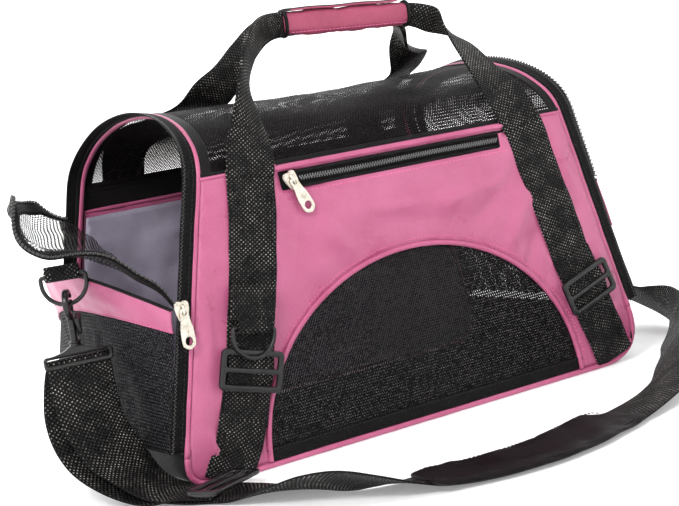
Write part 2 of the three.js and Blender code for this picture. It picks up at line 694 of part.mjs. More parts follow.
// Each station is a place on the handle's webbing, its width direction and its half width.
const FRONT_HANDLE = [
  [-124.5, -115, 214.2, 1, 0, 0, WEB_HALF],
  [-124.5, -115, 219, 1, 0, 0, WEB_HALF],
  [-120, -114, 236, 0.95, 0.1, -0.3, WEB_HALF],
  [-113, -107, 259, 0.7, 0.6, -0.3, 15],
  [-103, -94, 282, 0.4, 0.6, -0.6, 11],
  [-87, -78, 300, 0.3, 0.3, -0.9, 10],
  [-64, -57, 313, 0.1, 0.1, -1, 8.5],
  [GRIP_LEFT, -47.5, 316.4, 0, 0, -1, GRIP_HALF],
  [GRIP_LEFT + 10, -47.3, 316.1, 0, 0, -1, GRIP_HALF],
  [18, -47.2, GRIP_Z, 0, 0, -1, GRIP_HALF],
  [GRIP_RIGHT - 10, -47.3, 311.9, 0, 0, -1, GRIP_HALF],
  [GRIP_RIGHT, -47.5, 311.4, 0, 0, -1, GRIP_HALF],
  [95, -58, 301, 0.4, -0.1, -1, 10],
  [102, -78, 281, 0.9, 0, -0.6, 15],
  [107, -97, 256, 0.96, 0, -0.4, WEB_HALF],
  [114, -111, 233, 0.97, 0, 0.1, WEB_HALF],
  [122, -115, 219, 1, 0, 0, WEB_HALF],
  [122, -115, 214.2, 1, 0, 0, WEB_HALF],
];

const REAR_HANDLE = [
  [-124.5, 115, 214.2, 1, 0, 0, WEB_HALF],
  [-124.5, 115, 219, 1, 0, 0, WEB_HALF],
  [-120, 112, 237, 0.97, 0, -0.2, WEB_HALF],
  [-110, 101, 249, 0.95, -0.1, -0.2, WEB_HALF],
  [-92, 82, 259, 0.9, -0.3, 0.15, 18],
  [-72, 50, 270, 0.8, -0.5, 0.15, 15],
  [-60, 26, 282, 0.5, -0.4, -0.6, 12],
  [-54, 2, 299, 0.3, 0, -0.9, 10],
  [-48, -24, 313, 0.2, 0, -1, 8.5],
  [GRIP_LEFT + 13, -37.5, 315.8, 0, 0, -1, GRIP_HALF],
  [18, -38, GRIP_Z, 0, 0, -1, GRIP_HALF],
  [GRIP_RIGHT - 12, -37.5, 312, 0, 0, -1, GRIP_HALF],
  [86, -24, 309, 0.2, 0, -1, 8.5],
  [100, 2, 297, 0.4, 0.2, -0.8, 12],
  [122, 27, 281, 0.8, 0.4, -0.4, 15],
  [135, 52, 267.5, 0.9, 0.4, 0, 18],
  [133, 84, 256, 0.97, 0.2, 0.1, WEB_HALF],
  [126, 102, 249, 0.97, 0.05, 0.1, WEB_HALF],
  [118.5, 112, 237, 0.97, 0, 0.2, WEB_HALF],
  [122, 115, 219, 1, 0, 0, WEB_HALF],
  [122, 115, 214.2, 1, 0, 0, WEB_HALF],
];

function addHandles() {
  add(bag, 'front_handle', ribbon(FRONT_HANDLE, WEB_T, 2), webbing);
  add(bag, 'rear_handle', ribbon(REAR_HANDLE, WEB_T, 2), webbing);

  // The grip's sleeve is wrapped round the front handle, and its flap lies along the top.
  const grip = new THREE.Group();
  grip.position.set((GRIP_LEFT + GRIP_RIGHT) / 2, -47.2, GRIP_Z);
  grip.rotation.y = degrees(GRIP_TILT);
  bag.add(grip);
  const sleeve = new THREE.Shape(rectangle(-6.5, -10, 6.2, 9.5).getPoints());
  sleeve.holes.push(rectangle(-4.5, -8.3, 4.2, 8.3));
  const length = GRIP_RIGHT - GRIP_LEFT - 14;
  const along = (u, v, w) => new THREE.Vector3(w - length / 2, u, v);
  add(grip, 'grip_sleeve', moved(extruded(sleeve, length), along), pink);
  const flap = new THREE.Shape(rectangle(-6.5, 9.8, 6, 11.6).getPoints());
  add(grip, 'grip_flap', moved(extruded(flap, length), along), blackTape);
}

// ---- Shoulder strap ------------------------------------------------------------------
// The strap's route from the left clip, round the front on the floor, to the right clip.
// Each station is a place and the direction of the strap's width there.
const STRAP_ROUTE = [
  [-247.6, -40, 94.6, 0.97, -0.23, 0],
  [-248.5, -43, 79, 0.95, -0.25, -0.05],
  [-249.5, -50, 61, 0.93, -0.2, -0.2],
  [-250, -61, 44, 0.9, -0.2, -0.3],
  [-247, -74, 28, 0.85, -0.25, -0.3],
  [-243, -90, 14, 0.85, -0.4, -0.1],
  [-235, -107, 4, 0.87, 0.45, 0],
  [-221, -131, 3, 0.87, 0.49, 0],
  [-208, -150, 3, 0.87, 0.49, 0],
  [-199, -169, 3.2, 0.9, 0.43, 0],
  [-192, -188, 6.5, 0.9, -0.2, 0.2],
  [-184, -206, 13, 0.8, -0.1, 0.5],
  [-172, -224, 15, 0.6, 0.3, 0.6],
  [-159, -242, 15, 0.3, 0.7, 0.6],
  [-145, -256, 11, -0.1, 0.9, 0.4],
  [-128, -268, 7, -0.2, 1, 0.2],
  [-110, -276, 5, -0.1, 1, 0],
  [-82, -283, 5, 0, 1, 0],
  [-50, -286, 5, 0, 1, 0],
  [-16, -283, 5, 0, 1, 0],
  [12, -277, 5.5, 0, 1, 0],
  [38, -273, 10.5, 0.1, 0.95, 0.35],
  [62, -271, 19.5, 0.05, 0.55, 0.8],
  [88, -265, 24, 0.1, -0.1, 1],
  [114, -250, 22.5, 0.25, -0.35, 0.9],
  [142, -230, 22, 0.3, -0.35, 0.88],
  [172, -205, 22, 0.3, -0.35, 0.88],
  [206, -173, 22, 0.3, -0.35, 0.88],
  [240, -140, 22, 0.3, -0.35, 0.88],
  [270, -109, 22, 0.3, -0.35, 0.88],
  [298, -78, 23, 0.25, -0.2, 0.95],
  [315, -48, 26, 0.1, -0.1, 1],
  [316, -20, 33, -0.1, 0, 1],
  [308, 1, 42, -0.3, 0.3, 0.9],
  [291, 9, 52, -0.4, 0.7, 0.6],
  [270, 6, 59, -0.2, 1, 0.2],
  [254, 1, 67, 0, 1, 0],
  [239.8, 0, 84.5, 0, 1, 0],
].map((station) => [...station, STRAP_HALF]);

function addStrap() {
  add(bag, 'shoulder_strap', ribbon(STRAP_ROUTE, 2.2, 2, true), webbing);
  const padFirst = 16;
  const padLast = 20;
  const pad = STRAP_ROUTE.slice(padFirst, padLast + 1).map(([x, y, z, a, b, c]) => [x, y, z + 3.6, a, b, c, 31]);
  add(bag, 'strap_pad', ribbon(pad, 3.6, 2), satin);

  const glide = new THREE.Group();
  glide.position.set(-208, -150, 5);
  glide.rotation.set(degrees(-90), 0, degrees(27), 'ZYX');
  bag.add(glide);
  addTriglide(glide, 'strap_triglide', 56, 26);
}

addBase();
addFront();
addRear();
addRoof();
addEnd('left', END_SHAPES.left);
addEnd('right', END_SHAPES.right);
addDoor('left', -1, LEFT_FOLD_NEAR, LEFT_FOLD_FAR, LEFT_OPEN);
addDoor('right', 1, RIGHT_FOLD, RIGHT_FOLD, 0);
addSliders();
addSewnWebbing();
addHandles();
addClip('left', [-248, -40, 161.5], -30, 0, -13);
addClip('right', [211, 0, 146], 90, degrees(-25), 90);
addStrap();

export default bag;
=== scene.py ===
import json
import math

import bpy
import numpy as np
from mathutils import Matrix, Vector, geometry
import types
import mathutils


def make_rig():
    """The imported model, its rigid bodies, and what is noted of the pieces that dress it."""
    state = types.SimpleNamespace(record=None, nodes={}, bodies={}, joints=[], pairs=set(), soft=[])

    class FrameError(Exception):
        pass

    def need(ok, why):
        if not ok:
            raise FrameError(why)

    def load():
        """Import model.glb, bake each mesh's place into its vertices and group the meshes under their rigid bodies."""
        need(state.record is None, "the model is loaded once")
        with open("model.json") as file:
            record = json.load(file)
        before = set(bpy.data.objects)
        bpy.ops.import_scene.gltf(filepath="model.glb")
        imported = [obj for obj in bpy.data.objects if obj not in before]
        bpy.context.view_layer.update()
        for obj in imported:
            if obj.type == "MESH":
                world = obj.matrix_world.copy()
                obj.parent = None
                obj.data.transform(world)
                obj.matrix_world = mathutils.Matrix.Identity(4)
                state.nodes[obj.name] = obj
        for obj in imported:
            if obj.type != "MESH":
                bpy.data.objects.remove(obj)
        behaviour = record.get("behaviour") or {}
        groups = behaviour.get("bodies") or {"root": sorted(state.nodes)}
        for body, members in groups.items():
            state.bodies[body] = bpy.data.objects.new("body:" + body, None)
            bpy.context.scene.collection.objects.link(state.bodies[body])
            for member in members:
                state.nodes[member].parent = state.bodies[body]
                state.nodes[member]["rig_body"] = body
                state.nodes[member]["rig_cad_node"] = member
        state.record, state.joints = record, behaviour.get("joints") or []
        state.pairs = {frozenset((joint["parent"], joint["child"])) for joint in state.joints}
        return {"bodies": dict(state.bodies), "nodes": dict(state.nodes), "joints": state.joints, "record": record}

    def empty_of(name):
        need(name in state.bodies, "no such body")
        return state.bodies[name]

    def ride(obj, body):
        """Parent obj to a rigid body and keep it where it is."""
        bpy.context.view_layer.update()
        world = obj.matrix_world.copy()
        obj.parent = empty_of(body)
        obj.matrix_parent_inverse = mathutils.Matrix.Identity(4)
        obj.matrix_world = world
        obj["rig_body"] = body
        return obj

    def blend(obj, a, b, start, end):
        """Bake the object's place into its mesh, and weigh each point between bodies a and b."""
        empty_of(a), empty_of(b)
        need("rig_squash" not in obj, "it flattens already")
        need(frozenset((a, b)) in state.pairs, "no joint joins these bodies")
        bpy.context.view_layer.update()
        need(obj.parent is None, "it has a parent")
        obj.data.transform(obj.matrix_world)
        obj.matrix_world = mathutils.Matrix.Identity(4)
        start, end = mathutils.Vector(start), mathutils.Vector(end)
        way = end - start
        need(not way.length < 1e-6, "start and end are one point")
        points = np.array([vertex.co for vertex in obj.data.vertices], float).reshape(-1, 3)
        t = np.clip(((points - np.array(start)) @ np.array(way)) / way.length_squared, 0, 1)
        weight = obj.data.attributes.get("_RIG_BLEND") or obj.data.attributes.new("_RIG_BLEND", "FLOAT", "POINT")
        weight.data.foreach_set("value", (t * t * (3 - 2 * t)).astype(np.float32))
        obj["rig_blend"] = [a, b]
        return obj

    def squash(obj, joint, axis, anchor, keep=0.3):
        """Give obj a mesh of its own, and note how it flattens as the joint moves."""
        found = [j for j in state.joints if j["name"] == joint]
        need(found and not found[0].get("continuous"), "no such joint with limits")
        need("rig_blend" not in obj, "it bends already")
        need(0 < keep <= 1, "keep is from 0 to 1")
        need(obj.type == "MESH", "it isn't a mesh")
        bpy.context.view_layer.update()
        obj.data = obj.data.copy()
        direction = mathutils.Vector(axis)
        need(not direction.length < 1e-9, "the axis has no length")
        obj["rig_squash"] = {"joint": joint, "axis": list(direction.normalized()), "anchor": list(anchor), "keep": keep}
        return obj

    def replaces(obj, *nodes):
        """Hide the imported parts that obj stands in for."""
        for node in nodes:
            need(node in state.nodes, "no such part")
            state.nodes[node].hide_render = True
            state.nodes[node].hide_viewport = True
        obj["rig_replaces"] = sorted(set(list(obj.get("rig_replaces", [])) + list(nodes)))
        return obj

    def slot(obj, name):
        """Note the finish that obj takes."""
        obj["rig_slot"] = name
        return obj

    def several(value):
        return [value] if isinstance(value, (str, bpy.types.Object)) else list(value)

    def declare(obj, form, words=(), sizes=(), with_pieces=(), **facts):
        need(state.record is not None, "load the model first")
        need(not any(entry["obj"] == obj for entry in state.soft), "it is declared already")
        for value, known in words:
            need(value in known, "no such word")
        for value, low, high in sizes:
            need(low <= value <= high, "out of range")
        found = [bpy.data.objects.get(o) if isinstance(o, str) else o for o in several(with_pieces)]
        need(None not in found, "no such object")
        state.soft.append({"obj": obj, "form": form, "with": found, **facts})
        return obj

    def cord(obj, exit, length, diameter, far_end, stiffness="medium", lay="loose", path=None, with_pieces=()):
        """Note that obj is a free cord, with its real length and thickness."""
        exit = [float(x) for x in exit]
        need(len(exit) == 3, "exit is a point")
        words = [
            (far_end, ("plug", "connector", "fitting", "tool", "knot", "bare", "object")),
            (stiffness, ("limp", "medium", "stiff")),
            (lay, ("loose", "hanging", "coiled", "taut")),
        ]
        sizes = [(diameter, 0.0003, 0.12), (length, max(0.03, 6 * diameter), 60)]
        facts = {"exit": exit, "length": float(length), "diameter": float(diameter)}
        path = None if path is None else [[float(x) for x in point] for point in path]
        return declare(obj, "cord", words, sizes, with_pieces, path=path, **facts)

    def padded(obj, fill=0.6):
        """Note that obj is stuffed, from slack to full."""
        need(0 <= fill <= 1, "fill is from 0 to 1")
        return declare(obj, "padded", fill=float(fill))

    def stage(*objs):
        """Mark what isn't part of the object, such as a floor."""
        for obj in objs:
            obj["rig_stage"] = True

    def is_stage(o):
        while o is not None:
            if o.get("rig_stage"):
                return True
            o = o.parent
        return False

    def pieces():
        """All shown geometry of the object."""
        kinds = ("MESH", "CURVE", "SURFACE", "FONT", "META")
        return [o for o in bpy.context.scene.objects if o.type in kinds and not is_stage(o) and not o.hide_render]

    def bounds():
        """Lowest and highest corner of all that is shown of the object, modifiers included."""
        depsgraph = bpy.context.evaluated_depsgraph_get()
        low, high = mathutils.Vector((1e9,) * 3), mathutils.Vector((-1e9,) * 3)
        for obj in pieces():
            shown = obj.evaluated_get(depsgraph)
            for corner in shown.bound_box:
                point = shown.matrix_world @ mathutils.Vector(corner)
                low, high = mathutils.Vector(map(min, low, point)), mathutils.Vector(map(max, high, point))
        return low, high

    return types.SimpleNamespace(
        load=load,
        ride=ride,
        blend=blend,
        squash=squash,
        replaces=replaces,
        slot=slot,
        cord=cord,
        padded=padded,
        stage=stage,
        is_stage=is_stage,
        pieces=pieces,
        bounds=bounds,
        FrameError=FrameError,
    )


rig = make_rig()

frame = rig.load()
cad_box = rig.bounds()

MM = 0.001
HALF_LENGTH = 215.0
HALF_WIDTH = 113.5
SHOULDER_Z = 213.0
CROWN_RISE = 53.5
END_SLOPE = 0.2418
LEAN = math.atan(END_SLOPE)
SIN_LEAN, COS_LEAN = math.sin(LEAN), math.cos(LEAN)
SHOULDER_S = SHOULDER_Z / COS_LEAN
CROWN_S = CROWN_RISE / COS_LEAN
WEB_HALF = 19.0
STRAP_HALF = 23.0
FRONT_Y = -113.0
WINDOW_HALF = 146.0
WINDOW_RISE = 130.0
POCKET_Z = 201.2
PANEL_BOTTOM = 4.9
TAU = 2 * math.pi


# ---- Camera ---------------------------------------------------------------------------
def unit(v):
    v = np.asarray(v, float)
    return v / np.maximum(np.linalg.norm(v, axis=-1, keepdims=True), 1e-9)


def add_camera():
    azimuth, elevation, roll = (math.radians(a) for a in (30.21, 5.863, 9.452))
    level = math.cos(elevation)
    back = np.array([-math.sin(azimuth) * level, -math.cos(azimuth) * level, math.sin(elevation)])
    right = np.array([math.cos(azimuth), -math.sin(azimuth), 0])
    up = np.cross(back, right)
    x_axis = right * math.cos(roll) - up * math.sin(roll)
    y_axis = right * math.sin(roll) + up * math.cos(roll)
    place = np.array([0.0049, 0, 0.1278]) + back * 1.2535
    data = bpy.data.cameras.new("camera")
    data.sensor_width = 36
    data.lens = 80.6
    camera = bpy.data.objects.new("camera", data)
    bpy.context.scene.collection.objects.link(camera)
    rows = [[x_axis[i], y_axis[i], back[i], place[i]] for i in range(3)]
    camera.matrix_world = Matrix(rows + [[0, 0, 0, 1]])
    bpy.context.scene.camera = camera


add_camera()


# ---- Node materials -------------------------------------------------------------------
class Shader:
    """A material with a Principled shader and short ways to add nodes to it."""

    def __init__(self, name, **constants):
        self.material = bpy.data.materials.new(name)
        self.material.use_nodes = True
        self.tree = self.material.node_tree
        self.tree.nodes.clear()
        output = self.tree.nodes.new("ShaderNodeOutputMaterial")
        self.shader = self.tree.nodes.new("ShaderNodeBsdfPrincipled")
        self.tree.links.new(self.shader.outputs[0], output.inputs[0])
        for socket, value in constants.items():
            self.shader.inputs[socket.replace("_", " ")].default_value = value

    def node(self, kind, inputs=None, **settings):
        n = self.tree.nodes.new("ShaderNode" + kind)
        for key, value in settings.items():
            setattr(n, key, value)
        for key, value in (inputs or {}).items():
            if isinstance(value, bpy.types.NodeSocket):
                self.tree.links.new(value, n.inputs[key])
            else:
                n.inputs[key].default_value = value
        return n

    def math(self, operation, a, b=0.0, clamp=False):
        n = self.node("Math", {0: a, 1: b}, operation=operation)
        n.use_clamp = clamp
        return n.outputs[0]

    def place(self, uv=True):
        return self.node("TexCoord").outputs["UV" if uv else "Object"]

    def noise(self, vector, scale, detail=3.0, rough=0.55):
        inputs = {"Vector": vector, "Scale": scale, "Detail": detail, "Roughness": rough}
        return self.node("TexNoise", inputs).outputs[0]

    def ramp(self, value, low, high, out_low=0.0, out_high=1.0):
        inputs = {0: value, 1: low, 2: high, 3: out_low, 4: out_high}
        return self.node("MapRange", inputs).outputs[0]

    def mix(self, factor, a, b):
        n = self.node("Mix", data_type="RGBA")
        for index, value in ((0, factor), (6, a), (7, b)):
            if isinstance(value, bpy.types.NodeSocket):
                self.tree.links.new(value, n.inputs[index])
            else:
                n.inputs[index].default_value = value
        return n.outputs[2]

    def set(self, socket, value):
        self.tree.links.new(value, self.shader.inputs[socket])

    def bump(self, height, strength, distance, under=None):
        inputs = {"Height": height, "Strength": strength, "Distance": distance}
        if under is not None:
            inputs["Normal"] = under
        return self.node("Bump", inputs).outputs[0]


def rgb(red, green, blue):
    """A display colour from 0 to 255 as linear light."""
    out = []
    for c in (red, green, blue):
        c /= 255
        out.append(c / 12.92 if c <= 0.04045 else ((c + 0.055) / 1.055) ** 2.4)
    return (*out, 1.0)


def waves(s, vector, pitch_u, pitch_v):
    """Sines along and across the cloth, each from -1 to 1."""
    parts = s.node("SeparateXYZ", {0: vector})
    along = s.math("SINE", s.math("MULTIPLY", parts.outputs[0], TAU / pitch_u))
    across = s.math("SINE", s.math("MULTIPLY", parts.outputs[1], TAU / pitch_v))
    return along, across


def cloth(name, base, dark, rough, sheen, weave=0.0007, slub=0.00012, shine=0.5, swell=0.0012):
    """Plain woven cloth: fine weave, faint slubs, and colour that drifts a little."""
    s = Shader(name, Sheen_Weight=sheen, Sheen_Roughness=0.4, Specular_IOR_Level=shine)
    uv, body = s.place(), s.place(False)
    along, across = waves(s, uv, weave, weave)
    drift = s.noise(body, 22.0, 4.0)
    fine = s.noise(body, 900.0, 2.0)
    tone = s.math("ADD", s.math("MULTIPLY", drift, 0.7), s.math("MULTIPLY", fine, 0.3))
    s.set("Base Color", s.mix(s.ramp(tone, 0.3, 0.7), dark, base))
    s.set("Roughness", s.ramp(drift, 0.3, 0.7, rough - 0.05, rough + 0.07))
    threads = s.bump(s.math("MULTIPLY", along, across), 0.5, 0.00006)
    slubs = s.bump(s.noise(body, 260.0, 3.0), 0.5, slub, threads)
    s.set("Normal", s.bump(s.noise(body, 45.0, 3.0), 0.35, swell, slubs))
    return s.material


def webbing_material(name, base, glint, rough=0.55, pitch_u=0.0030, pitch_v=0.0036, bright=0.55):
    """Coarse webbing: staggered rows of raised yarns that catch the light."""
    s = Shader(name, Specular_IOR_Level=0.16)
    uv, body = s.place(), s.place(False)
    along, across = waves(s, uv, pitch_u, pitch_v)
    cells = s.math("MULTIPLY", along, across)
    wear = s.noise(body, 60.0, 3.0)
    fray = s.noise(body, 700.0, 2.0)
    mask = s.ramp(cells, 0.5, 0.95)
    patchy = s.math("MULTIPLY", mask, s.ramp(wear, 0.4, 0.68, 0.08, 1.0))
    flecks = s.math("MULTIPLY", patchy, s.ramp(fray, 0.38, 0.64, 0.05, bright))
    s.set("Base Color", s.mix(flecks, base, glint))
    s.set("Roughness", s.ramp(mask, 0.0, 1.0, rough + 0.15, rough - 0.12))
    yarns = s.bump(cells, 0.8, 0.00045)
    s.set("Normal", s.bump(fray, 0.3, 0.0002, yarns))
    return s.material


def netting_material(name, pitch, open_radius, base, glint, bright=0.5):
    """Knitted netting: staggered round holes between dark yarns."""
    s = Shader(name, Roughness=0.62, Specular_IOR_Level=0.1)
    uv, body = s.place(), s.place(False)
    parts = s.node("SeparateXYZ", {0: uv})
    slanted = s.math("ADD", parts.outputs[0], s.math("MULTIPLY", parts.outputs[1], 0.5))
    skewed = s.node("CombineXYZ", {0: slanted, 1: parts.outputs[1]}).outputs[0]
    inputs = {"Vector": skewed, "Scale": 1.0 / pitch, "Randomness": 0.0}
    cell = s.node("TexVoronoi", inputs, voronoi_dimensions="2D").outputs["Distance"]
    s.set("Alpha", s.ramp(cell, open_radius - 0.03, open_radius + 0.03))
    fray = s.noise(body, 420.0, 2.0)
    knot = s.math("MULTIPLY", s.ramp(cell, 0.48, 0.66), s.ramp(fray, 0.4, 0.62, 0.0, bright))
    s.set("Base Color", s.mix(knot, base, glint))
    s.set("Normal", s.bump(cell, 0.6, 0.0004))
    return s.material


def plastic_material(name):
    s = Shader(name, Specular_IOR_Level=0.5)
    body = s.place(False)
    grain = s.noise(body, 1500.0, 2.0)
    scuff = s.noise(body, 90.0, 4.0)
    s.set("Base Color", s.mix(s.ramp(scuff, 0.35, 0.7), rgb(7, 6, 6), rgb(18, 17, 17)))
    s.set("Roughness", s.ramp(scuff, 0.3, 0.7, 0.26, 0.42))
    s.set("Normal", s.bump(grain, 0.2, 0.00008))
    return s.material


def nickel_material(name):
    s = Shader(name, Metallic=1.0)
    body = s.place(False)
    scuff = s.noise(body, 220.0, 4.0)
    stretched = s.node("Mapping", {0: body, 3: (2600.0, 2600.0, 120.0)}).outputs[0]
    brushed = s.noise(stretched, 1.0, 2.0)
    s.set("Base Color", s.mix(s.ramp(scuff, 0.35, 0.65), rgb(196, 188, 172), rgb(226, 221, 210)))
    s.set("Roughness", s.ramp(scuff, 0.3, 0.7, 0.2, 0.36))
    s.set("Normal", s.bump(brushed, 0.12, 0.00005))
    return s.material


def satin_material(name):
    s = Shader(name, Specular_IOR_Level=0.12)
    uv, body = s.place(), s.place(False)
    along, across = waves(s, uv, 0.0011, 0.0011)
    drift = s.noise(body, 30.0, 4.0)
    s.set("Base Color", s.mix(s.ramp(drift, 0.3, 0.7), rgb(7, 4, 5), rgb(17, 11, 12)))
    s.set("Roughness", s.ramp(drift, 0.3, 0.7, 0.44, 0.6))
    rib = s.bump(s.math("MULTIPLY", along, across), 0.5, 0.00012)
    s.set("Normal", s.bump(s.noise(body, 70.0, 3.0), 0.4, 0.0011, rib))
    return s.material


def fuzzy_material(name):
    """Hook-and-loop face: matt, pitted and dull."""
    s = Shader(name, Sheen_Weight=0.5, Specular_IOR_Level=0.2)
    body = s.place(False)
    tuft = s.noise(body, 1100.0, 2.0, 0.7)
    s.set("Base Color", s.mix(s.ramp(tuft, 0.35, 0.65), rgb(9, 8, 8), rgb(40, 38, 37)))
    s.set("Roughness", s.ramp(tuft, 0.3, 0.7, 0.8, 0.95))
    s.set("Normal", s.bump(tuft, 0.8, 0.0006))
    return s.material


PINK = cloth("pink_cloth", rgb(188, 99, 136), rgb(170, 76, 115), 0.3, 0.06, swell=0.0030)
PINK_WRAP = cloth("pink_wrap", rgb(172, 75, 105), rgb(144, 52, 80), 0.5, 0.1, slub=0.0003)
PINK_CORD = cloth("pink_piping", rgb(192, 99, 137), rgb(168, 70, 110), 0.4, 0.08, weave=0.0011, slub=0.0003)
LINING = cloth("lining_cloth", rgb(166, 158, 176), rgb(136, 128, 146), 0.42, 0.04)
BLACK_CLOTH = cloth("black_cloth", rgb(17, 14, 15), rgb(9, 8, 8), 0.55, 0.02, slub=0.0003, shine=0.18)
TAPE = webbing_material("black_tape", rgb(9, 8, 8), rgb(58, 55, 54), 0.55, 0.0016, 0.0018, 0.3)
WEBBING = webbing_material("black_webbing", rgb(6, 5, 5), rgb(225, 220, 212), 0.5, bright=1.0)
STRAP_WEB = webbing_material("strap_webbing", rgb(6, 5, 5), rgb(235, 230, 222), 0.5, 0.0032, 0.0038, 1.0)
WINDOW_NET = netting_material("window_net", 0.0021, 0.2, rgb(10, 9, 10), rgb(140, 136, 134), 0.7)
ROOF_NET = netting_material("roof_net", 0.0024, 0.33, rgb(11, 7, 8), rgb(92, 84, 84), 0.45)
DOOR_NET = netting_material("door_net", 0.0030, 0.43, rgb(10, 9, 9), rgb(110, 106, 102), 0.5)
END_NET = netting_material("end_net", 0.0026, 0.25, rgb(12, 11, 12), rgb(130, 130, 138), 0.6)
PLASTIC = plastic_material("black_plastic")
NICKEL = nickel_material("worn_nickel")
SATIN = satin_material("pad_satin")
FUZZY = fuzzy_material("loop_tape")
PINK_THREAD = cloth("pink_thread", rgb(228, 116, 160), rgb(206, 92, 138), 0.5, 0.1)
BLACK_THREAD = cloth("black_thread", rgb(34, 31, 30), rgb(16, 14, 14), 0.5, 0.05, shine=0.25)
COIL = Shader("zip_coil", Base_Color=rgb(58, 56, 55), Roughness=0.3, Specular_IOR_Level=0.6).material
SILVER_COIL = Shader("silver_coil", Base_Color=rgb(118, 116, 118), Roughness=0.35, Metallic=0.5).material


# ---- Mesh helpers ---------------------------------------------------------------------
def make(name, verts, faces, material, uv):
    """A mesh from points and texture places in millimetres."""
    mesh = bpy.data.meshes.new(name)
    mesh.from_pydata((np.asarray(verts, float) * MM).tolist(), [], [list(map(int, f)) for f in faces])
    loops = np.empty(len(mesh.loops), dtype=np.int32)
    mesh.loops.foreach_get("vertex_index", loops)
    layer = mesh.uv_layers.new(name="cloth")
    layer.data.foreach_set("uv", (np.asarray(uv, float) * MM)[loops].astype(np.float32).ravel())
    mesh.polygons.foreach_set("use_smooth", [True] * len(mesh.polygons))
    mesh.materials.append(material)
    mesh.update()
    obj = bpy.data.objects.new(name, mesh)
    bpy.context.scene.collection.objects.link(obj)
    return obj


def settle(obj, body, slot, *nodes):
    """The piece moves with a body, takes its finish from a slot and stands for CAD nodes."""
    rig.ride(obj, body)
    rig.slot(obj, slot)
    if nodes:
        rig.replaces(obj, *nodes)
    return obj


def thicken(obj, thickness):
    wall = obj.modifiers.new("thickness", "SOLIDIFY")
    wall.thickness = thickness * MM
    wall.offset = 0.0
    wall.use_quality_normals = True
    return obj


def ripple(places, wavelength, seed, terms=8):
    """Smooth seeded unevenness, about -1 to 1."""
    places = np.asarray(places, float)
    random = np.random.default_rng(seed)
    directions = unit(random.normal(size=(terms, places.shape[-1])))
    numbers = TAU / (wavelength * random.uniform(0.7, 1.5, terms))
    phases = random.uniform(0, TAU, terms)
    total = sum(np.sin(places @ d * k + f) for d, k, f in zip(directions, numbers, phases))
    return total / math.sqrt(terms)


def crease(places, start, end, width, height):
    """A soft ridge along a line, fading at both ends."""
    places = np.asarray(places, float)
    a, b = np.asarray(start, float), np.asarray(end, float)
    along = np.clip(((places - a) @ (b - a)) / ((b - a) @ (b - a)), 0, 1)
    gap = np.linalg.norm(places - (a + along[..., None] * (b - a)), axis=-1)
    return height * np.exp(-((gap / width) ** 2)) * np.sin(np.pi * np.clip(along, 0.02, 0.98)) ** 0.5


def creases(places, folds):
    return sum(crease(places, *fold) for fold in folds)


def spline(stations, per):
    """A smooth curve through rows of numbers, with per steps between one row and the next."""
    p = np.asarray(stations, float)
    tangents = np.empty_like(p)
    tangents[1:-1] = (p[2:] - p[:-2]) / 2
    tangents[0], tangents[-1] = p[1] - p[0], p[-1] - p[-2]
    rows = []
    for k in range(len(p) - 1):
        t = np.arange(per + (k == len(p) - 2))[:, None] / per
        a, b = 2 * t**3 - 3 * t**2 + 1, t**3 - 2 * t**2 + t
        c, d = -2 * t**3 + 3 * t**2, t**3 - t**2
        rows.append(a * p[k] + b * tangents[k] + c * p[k + 1] + d * tangents[k + 1])
    return np.vstack(rows)


def points(x, y, z):
    """Points from coordinates, each of them an array or one number."""
    return np.stack(np.broadcast_arrays(x, y, z), -1)


def band_rows(line, across, half, thick):
    """Rows for sweep: a line, the direction of the width, half width and half thickness."""
    line = np.asarray(line, float)
    sizes = [np.broadcast_to(np.asarray(v, float), (len(line),))[:, None] for v in (half, thick)]
    return np.hstack([line, np.broadcast_to(across, line.shape), *sizes])


def travel(centres):
    return unit(np.gradient(centres, axis=0))


def lengths(centres):
    steps = np.linalg.norm(np.diff(centres, axis=0), axis=1)
    return np.concatenate([[0], np.cumsum(steps)])


def even(points, step, closed=False):
    """The same line with points at even steps."""
    points = np.asarray(points, float)
    if closed:
        points = np.vstack([points, points[:1]])
    far = lengths(points)
    count = max(int(round(far[-1] / step)), 2)
    at = np.linspace(0, far[-1], count + 1)
    out = np.stack([np.interp(at, far, points[:, i]) for i in range(points.shape[1])], -1)
    return out[:-1] if closed else out


def tube_faces(rings, around, closed=False):
    faces = []
    for r in range(rings if closed else rings - 1):
        for k in range(around):
            n = (k + 1) % around
            q = (r + 1) % rings
            faces.append((r * around + k, r * around + n, q * around + n, q * around + k))
    if not closed:
        faces.append(tuple(range(around))[::-1])
        faces.append(tuple((rings - 1) * around + k for k in range(around)))
    return faces


def sweep(name, rows, section, material, closed=False):
    """rows are [x, y, z, width direction, half width, half thickness], section [across, up]."""
    rows = np.asarray(rows, float)
    centres = rows[:, :3]
    if closed:
        along = unit(np.roll(centres, -1, axis=0) - np.roll(centres, 1, axis=0))
    else:
        along = travel(centres)
    across = rows[:, 3:6]
    across = unit(across - (across * along).sum(1, keepdims=True) * along)
    up = np.cross(along, across)
    section = np.asarray(section, float)
    a, b = section[:, 0], section[:, 1]
    verts = (centres[:, None] + across[:, None] * (a[None, :] * rows[:, 6:7])[..., None]
             + up[:, None] * (b[None, :] * rows[:, 7:8])[..., None])
    far = lengths(centres)
    uv = np.stack([np.repeat(far[:, None], len(a), 1), a[None, :] * rows[:, 6:7]], -1)
    faces = tube_faces(len(rows), len(a), closed)
    return make(name, verts.reshape(-1, 3), faces, material, uv.reshape(-1, 2))


def flat_section(points=22, edge=0.28, crown=0.5):
    """A flat band's cross-section with rounded edges."""
    turn = (np.arange(points) + 0.5) * TAU / points
    c, s = np.cos(turn), np.sin(turn)
    return np.stack([np.sign(c) * np.abs(c) ** edge, np.sign(s) * np.abs(s) ** crown], -1)


